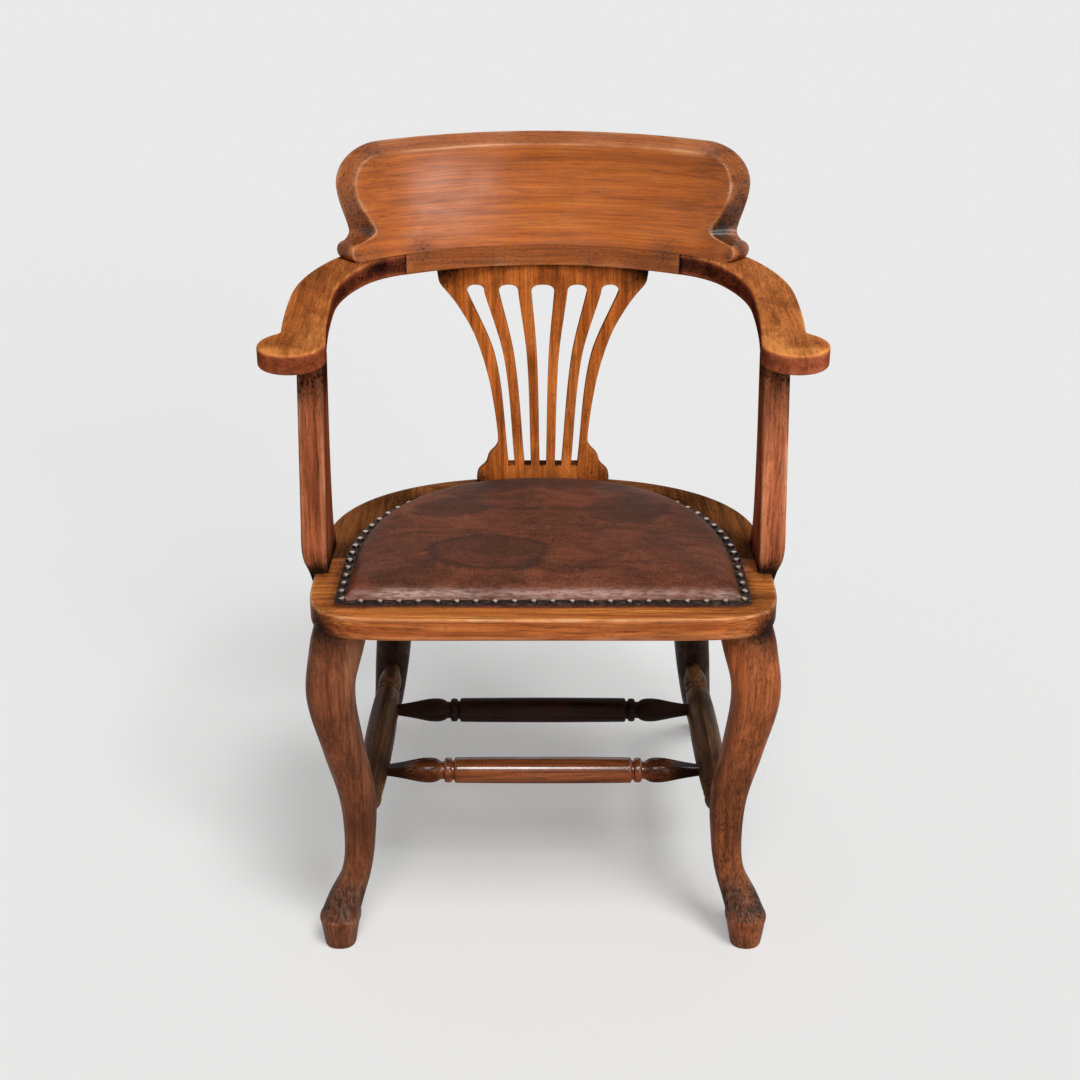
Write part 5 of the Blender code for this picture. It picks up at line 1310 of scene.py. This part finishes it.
# Underside: webbing, hessian and the screws under the arms
under = dict(
    strapWidth=0.050, strapThick=0.0016, edgeDrop=0.00025, hessian=0.001, margin=0.0015,
    sideGap=0.060, frontGap=0.056, backGap=0.068, long=4, cross=3,
)
screw = dict(
    places=((0.208, 0.0135), (0.200, 0.025)),  # run along the bow and distance out from its inner edge
    radius=0.0044, shank=0.0022, length=0.046, neck=0.0040, proud=0.0002,
)


def rebateWall(angle):
    # Edge of the sheets: the rebate's wall less a margin
    inner, outer = planPoint(openPlan, angle), planPoint(seatPlan, angle)
    outwards = (outer - inner) / np.linalg.norm(outer - inner, axis=1)[:, None]
    return inner + outwards * (seat["rebateWidth"] - under["margin"])


def rebateEdge(at, alongX):
    # Where the wall of the rebate crosses the lines at the given Y, or X
    wall = rebateWall(np.linspace(0, 2 * np.pi, 1441))
    own, other = (1, 0) if alongX else (0, 1)
    before = wall[:, other] < (0.0 if alongX else seat["centreY"])
    ends = []
    for half in (wall[before], wall[~before]):
        order = np.argsort(half[:, own])
        ends.append(np.interp(at, half[order, own], half[order, other]))
    return ends


def strapShell(middle, crossings, highs, alongX):
    # Band of webbing laid over and under the straps it crosses, on a smooth step at every crossing
    width = np.linspace(-0.5, 0.5, 13) * under["strapWidth"]
    low, high = rebateEdge(middle + width, alongX)
    run = low + np.linspace(0, 1, 90)[:, None] * (high - low)
    lift = np.zeros_like(run)
    half = under["strapWidth"] / 2
    for place, isHigh in zip(crossings, highs):
        near = 1 - smoothStep(np.abs(run - place), half + 0.001, half + 0.008)
        lift = lift + near * isHigh * (under["strapThick"] + fit)
    edgeDrop = under["edgeDrop"] * np.abs(width / width[-1]) ** 6
    base = seat["top"] - seat["rebateDepth"] + fit
    cross = np.broadcast_to(middle + width, run.shape)
    flat = np.stack([run, cross] if alongX else [cross, run], -1)
    upper = lifted(flat, base + under["strapThick"] + lift - edgeDrop)
    lower = lifted(flat, base + lift + edgeDrop)
    rings = np.concatenate([upper, lower[:, ::-1]], 1)
    cloth = np.stack([np.broadcast_to(width, run.shape), run], -1)
    uv = np.concatenate([cloth, cloth[:, ::-1]], 1).reshape(-1, 2)
    return tubeShell(rings), uv, float((high - low).mean())


def makeWebbing(jute):
    half, front, back = openPlan["half"], openPlan["front"], openPlan["back"]
    columns = np.linspace(under["sideGap"] - half, half - under["sideGap"], under["long"])
    rows = seat["centreY"] + np.linspace(under["frontGap"] - front, back - under["backGap"], under["cross"])
    for alongX, places, crossings, word in ((False, columns, rows, "long"), (True, rows, columns, "cross")):
        for i, place in enumerate(places):
            highs = [(i + j) % 2 == int(alongX) for j in range(len(crossings))]
            shell, uv, length = strapShell(place, crossings, highs, alongX)
            name = f"webbing_{word}_{i + 1}"
            piece = addPiece(name + "_jute", [shell], jute, (name,), uv=uv)


def makeHessian(sacking):
    edge = rebateWall(np.linspace(0, 2 * np.pi, 160, endpoint=False))
    middle = np.array([0, seat["centreY"]])
    flat = middle + np.linspace(1, 0, 30)[:, None, None] * (edge - middle)
    rings = np.concatenate([lifted(flat, seat["top"] - under["hessian"])[::-1], lifted(flat, seat["top"])])
    points = rings.reshape(-1, 3)
    shell = points, gridFaces(*rings.shape[:2], around=True).tolist(), np.zeros(len(points))
    piece = addPiece("hessian_cloth", [shell], sacking, ("hessian_sheet",), uv=points[:, :2])


def makeCrestScrews(steel):
    r, shank = screw["radius"], screw["shank"]
    rows = ((0, 0.35 * r), (0.0001, 0.9 * r), (0.0004, r), (screw["neck"], shank), (screw["length"], shank))
    for word, side in sides:
        for letter, (run, out) in zip("ab", screw["places"]):
            x, y = (float(v) for v in crestPoint(side * run, out))
            foot = np.array([x, y, bowUnder(y) - screw["proud"]])
            name = f"{word}_crest_screw_{letter}"
            shell = turnedShell(rows, foot, foot + (0, 0, 1), 24)
            addPiece(name + "_steel", [shell], steel, (name,), 40)


# Finishes other than oak
def makeHideGrain():
    # Small pebbled cells, creases and slow tone changes for leather
    inputs = [("Vector", "Vector", None), ("Cells", "Float", 700.0)]
    outputs = [(word, "Float") for word in ("Height", "Tone", "Streak")]
    tree, given, out = startGroup("hideGrain", inputs, outputs)
    vector = given["Vector"]
    inputs = {"Vector": vector, "Scale": given["Cells"], "Randomness": 0.9}
    cells = addNode(tree, "ShaderNodeTexVoronoi", inputs, feature="F1").outputs["Distance"]
    fine = noise(tree, vector, 900.0, 2.0)
    creases = noise(tree, stretched(tree, vector, (1, 1.8, 1)), 60.0, 4.0, 0.6, 1.2)
    join(tree, {
        "Height": plus(tree, times(tree, cells, -0.6), times(tree, fine, 0.25), times(tree, creases, 0.9)),
        "Tone": noise(tree, vector, 9.0, 5.0, 0.6, 0.8),
        "Streak": noise(tree, stretched(tree, vector, (0.75, 1.2, 1)), 19.0, 6.0, 0.66, 0.7),
    }, out)
    return tree


hideGrain = makeHideGrain()
leather = dict(
    deep=(0.096, 0.037, 0.022, 1), red=(0.188, 0.060, 0.033, 1), pale=(0.230, 0.082, 0.044, 1),
    # The rubbed colour is the front lip's painted highlight
    stain=(0.050, 0.027, 0.021, 1), rubAndHighlight=(0.62, 0.40, 0.34, 1),
    stains=(  # X, Y, half width, half depth, inner amount, rim amount
        (-0.061, -0.152, 0.068, 0.043, 0.36, 0.72), (0.100, -0.03, 0.055, 0.045, 0.40, 0.0),
        (-0.11, -0.02, 0.050, 0.036, 0.55, 0.0), (0.02, 0.07, 0.140, 0.040, 0.45, 0.0),
        (-0.06, 0.05, 0.050, 0.030, 0.45, 0.0),
    ),
)


def makeLeather():
    # Marbled hide, old stains as ragged ellipses with a darker rim, and a paler front lip that is a painted
    # highlight over rubbing
    finish, tree, shader = startMaterial("wornLeather")
    where = objectPlace(tree)
    hide = placeGroup(tree, hideGrain, {"Vector": where, "Cells": 750.0})
    tone, streak = hide["Tone"], hide["Streak"]
    colour = blendColour(tree, spread(tree, streak, 0.34, 0.66), leather["deep"], leather["red"])
    colour = blendColour(tree, spread(tree, tone, 0.48, 0.70, 0.0, 0.6), colour, leather["pale"])
    mottle = noise(tree, stretched(tree, where, (0.55, 1.3, 1)), 75.0, 6.0, 0.7, 0.5)
    fine = spread(tree, noise(tree, where, 420.0, 3.0, 0.6), 0.32, 0.68, 0.72, 1.28)
    mottle = times(tree, spread(tree, mottle, 0.30, 0.70, 0.80, 1.20), fine)
    colour = blendColour(tree, 1.0, colour, greyOf(tree, mottle), "MULTIPLY")
    place = axes(tree, where)
    ragged = spread(tree, streak, 0.2, 0.8, -0.4, 0.4)
    for x, y, wide, deep, inside, rim in leather["stains"]:
        dx = maths(tree, "DIVIDE", maths(tree, "SUBTRACT", place[0], x), wide)
        dy = maths(tree, "DIVIDE", maths(tree, "SUBTRACT", place[1], y), deep)
        gap = plus(tree, times(tree, dx, dx), times(tree, dy, dy), ragged)
        amount = spread(tree, gap, 0.60, 1.15, inside, 0.0)
        if rim:
            line = times(tree, spread(tree, gap, 0.55, 0.95), spread(tree, gap, 0.95, 1.25, rim, 0.0))
            amount = maths(tree, "MAXIMUM", amount, line)
        colour = blendColour(tree, amount, colour, leather["stain"])
    strokes = noise(tree, stretched(tree, where, (1, 5, 5)), 70.0, 5.0, 0.7)
    strokes = spread(tree, strokes, 0.38, 0.62, 0.25, 1.0)
    # Front lip paler: painted highlight over rubbing
    lip = times(tree, attribute(tree, "edge"), strokes, spread(tree, tone, 0.38, 0.62, 0.45, 1.1), 0.85)
    colour = blendColour(tree, lip, colour, leather["rubAndHighlight"])
    dressShader(tree, shader, colour, spread(tree, tone, 0.3, 0.7, 0.34, 0.50), hide["Height"], 0.45, 0.0007)
    shader.inputs["Specular IOR Level"].default_value = 0.015
    return finish


def makeBandLeather():
    # Nearly black hide with paler scuffs
    finish, tree, shader = startMaterial("darkBanding")
    where = objectPlace(tree)
    hide = placeGroup(tree, hideGrain, {"Vector": where, "Cells": 900.0})
    flecks = noise(tree, stretched(tree, where, (0.4, 1, 1)), 260.0, 4.0, 0.65)
    black, scuffed = (0.022, 0.012, 0.010, 1), (0.105, 0.070, 0.056, 1)
    colour = blendColour(tree, spread(tree, flecks, 0.50, 0.68), black, scuffed)
    rough = spread(tree, hide["Streak"], 0.3, 0.7, 0.36, 0.6)
    dressShader(tree, shader, colour, rough, hide["Height"], 0.35, 0.0006)
    shader.inputs["Specular IOR Level"].default_value = 0.1
    return finish


def makeBrass():
    # Dark patina at the rim of each head, rubbed bright on its crown, which also paints the head's highlight
    finish, tree, shader = startMaterial("agedBrass")
    where = objectPlace(tree)
    patina = noise(tree, where, 160.0, 4.0, 0.6)
    rubAndHighlight = spread(tree, plus(tree, attribute(tree, "edge"), times(tree, patina, 0.5)), 0.42, 0.85)
    tarnish, bright = (0.036, 0.024, 0.018, 1), (0.72, 0.62, 0.52, 1)
    colour = blendColour(tree, rubAndHighlight, tarnish, bright)
    rough = spread(tree, patina, 0.35, 0.7, 0.42, 0.26)
    dressShader(tree, shader, colour, rough, noise(tree, where, 700.0, 2.0), 0.15, 0.0004)
    shader.inputs["Metallic"].default_value = 1.0
    return finish


def makeWeaveGroup():
    # Plain weave on the piece's own UV in metres: crossing sine threads, with uneven yarn
    inputs = [("Vector", "Vector", None), ("Threads", "Float", 600.0)]
    tree, given, out = startGroup("plainWeave", inputs, [("Height", "Float"), ("Tone", "Float")])
    inputs = {0: given["Vector"], "Scale": given["Threads"]}
    grown = addNode(tree, "ShaderNodeVectorMath", inputs, operation="SCALE").outputs[0]
    warp, weft = (maths(tree, "SINE", times(tree, part, math.pi)) for part in axes(tree, grown)[:2])
    over = maths(tree, "MAXIMUM", maths(tree, "ABSOLUTE", warp), maths(tree, "ABSOLUTE", weft))
    height = plus(tree, times(tree, warp, weft, 0.4), over)
    join(tree, {"Height": height, "Tone": noise(tree, given["Vector"], 240.0, 4.0)}, out)
    return tree


plainWeave = makeWeaveGroup()


def makeCloth(name, threads, dark, light, stripe=None):
    # Yarn between two tones, darker in the gaps of the weave, with a woven stripe near both edges
    finish, tree, shader = startMaterial(name)
    shade, stripeColour = (0.06, 0.04, 0.02, 1), (0.07, 0.03, 0.02, 1)
    where = addNode(tree, "ShaderNodeUVMap", uv_map="UVMap").outputs[0]
    weave = placeGroup(tree, plainWeave, {"Vector": where, "Threads": threads})
    tone, height = weave["Tone"], weave["Height"]
    colour = blendColour(tree, spread(tree, tone, 0.3, 0.7), (*dark, 1), (*light, 1))
    colour = blendColour(tree, spread(tree, height, 0.2, 0.9, 0.55, 0.0), colour, shade)
    if stripe:
        side = maths(tree, "ABSOLUTE", axes(tree, where)[0])
        gap = maths(tree, "ABSOLUTE", maths(tree, "SUBTRACT", side, stripe))
        colour = blendColour(tree, spread(tree, gap, 0.0012, 0.0022, 0.75, 0.0), colour, stripeColour)
    dressShader(tree, shader, colour, spread(tree, tone, 0.2, 0.8, 0.80, 0.95), height, 0.6, 0.0006)
    return finish


def makePlain(name, dark, light, scale, rough, metal=0.0, stretch=(1, 1, 1)):
    # Two tones by one noise, which is also the bump
    finish, tree, shader = startMaterial(name)
    tone = noise(tree, stretched(tree, objectPlace(tree), stretch), scale, 5.0, 0.65)
    colour = blendColour(tree, spread(tree, tone, 0.3, 0.7), (*dark, 1), (*light, 1))
    dressShader(tree, shader, colour, spread(tree, tone, 0.3, 0.7, *rough), tone, 0.4, 0.0008)
    shader.inputs["Metallic"].default_value = metal
    return finish


# Build; after its name an oak has tone, grain, stain, wear and shift, then what differs from the usual finish
alongX, alongY, upwards = (1, 0, 0), (0, 1, 0), (0, 0, 1)
makeRails({
    # Front rail: painted shade on its front face, and strong arris wear that also paints the highlight along its
    # top arris
    "front": makeOak("oakSeatFront", "frontRail", alongX, 0.20, 1.7, 0.31, upright=0.5),
    "side": makeOak("oakSeatSide", "sideRail", alongY, 0.36, 0.5, 1.13, gloss=0.0, contrast=0.7),
    "back": makeOak("oakSeatBack", "sideRail", alongX, 0.36, 0.5, 2.37, gloss=0.0, contrast=0.7),
})
print("seat frame done")
hairFinish = makePlain("curledHair", (0.03, 0.02, 0.015), (0.10, 0.075, 0.05), 260, (0.8, 0.95))
makeSeatCover(makeLeather(), hairFinish)
makeBanding(makeBandLeather(), makeBrass())
print("leather, banding and nails done")
kneeGold = dict(rubAndHighlight=(0.72, 0.15, 0.01), flecks=0.6)
# Left leg a darker and right leg a paler tone of one wood, painted light from the right
frontLegOaks = {
    "left": makeOak("oakLeftLegShaded", "shadedLeftLeg", upwards, 0.40, 0.35, 0.53, gloss=0.10, dust=0.10),
    "right": makeOak("oakRightLegLit", "litRightLeg", upwards, 0.52, 0.35, 0.87, gloss=0.10, dust=0.10, **kneeGold),
}
makeLegs(frontLegOaks, makeOak("oakRearLeg", "dark", upwards, 0.45, 0.15, 1.71))
glassy = dict(gloss=0.0, coat=1.0, smooth=0.14, coatIor=2.1, topOnly=True)
makeStretchers(
    makeOak("oakSideStretcher", "side", alongY, 0.4, 0.2, 0.97),
    makeOak("oakFrontStretcher", "frontCross", alongX, 0.30, 0.3, 1.49, **glassy),
    makeOak("oakRearStretcher", "dark", alongX, 0.5, 0.1, 2.91),
)
print("legs and stretchers done")
# Arms: painted shade on steep faces, and a worn colour brighter than wood can be, painting highlights on the
# rubbed patches
armShadeAndHighlight = dict(gloss=0.0, upright=0.9, contrast=0.7, rubAndHighlight=(1.25, 0.47, 0.12))
# Left arm a darker and right arm a paler tone of one wood, painted light from the right
makeArms({
    "left": makeOak("oakLeftArmShaded", "shadedLeftArm", alongY, 0.46, 1.9, 0.77, **armShadeAndHighlight),
    "right": makeOak("oakRightArmLit", "litRightArm", alongY, 0.46, 1.9, 1.37, **armShadeAndHighlight),
})
polished = dict(gloss=0.0, coat=0.95, smooth=0.27, contrast=0.64, flecks=2.4)
makeCrest(makeOak("oakCrest", "crest", "bow", 0.08, 0.9, 0.11, **polished))
# Bright worn colour for the splat's foot, there as painted light
litFoot = dict(gloss=0.0, contrast=0.85, rubAndHighlight=(0.95, 0.30, 0.06))
makeSplat(makeOak("oakSplat", "splat", (0, splat["lean"], 1), 0.46, 0.8, 0.43, **litFoot))
# Left support a darker and right support a paler tone of one wood, painted light from the right
supportOaks = {
    "left": makeOak("oakLeftSupportShaded", "shadedLeftSupport", upwards, 0.36, 0.8, 1.91, gloss=0.0),
    "right": makeOak("oakRightSupportLit", "litRightSupport", upwards, 0.36, 0.8, 2.63, gloss=0.0),
}
makeSupports(supportOaks, makeOak("oakPlug", "shadedLeftLeg", alongY, 0.3, 0.3, 2.2))
print("bow, splat and supports done")
makeWebbing(makeCloth("juteWebbing", 700.0, (0.24, 0.17, 0.10), (0.46, 0.36, 0.23), 0.017))
makeHessian(makeCloth("hessianCloth", 620.0, (0.20, 0.14, 0.08), (0.40, 0.30, 0.18)))
steelFinish = makePlain("screwSteel", (0.22, 0.21, 0.20), (0.45, 0.44, 0.42), 500, (0.35, 0.55), metal=1.0)
makeCrestScrews(steelFinish)
beech = (0.40, 0.26, 0.14), (0.60, 0.42, 0.25)
dowelFinish = makePlain("dowelBeech", *beech, 120, (0.5, 0.7), stretch=(1, 1, 8))
for nodeName, obj in nodes.items():  # dowels and buried screws keep their own solids
    if "dowel" in nodeName or "support_screw" in nodeName:
        obj.data.materials.clear()
        obj.data.materials.append(dowelFinish if "dowel" in nodeName else steelFinish)
print("underside and fastenings done")
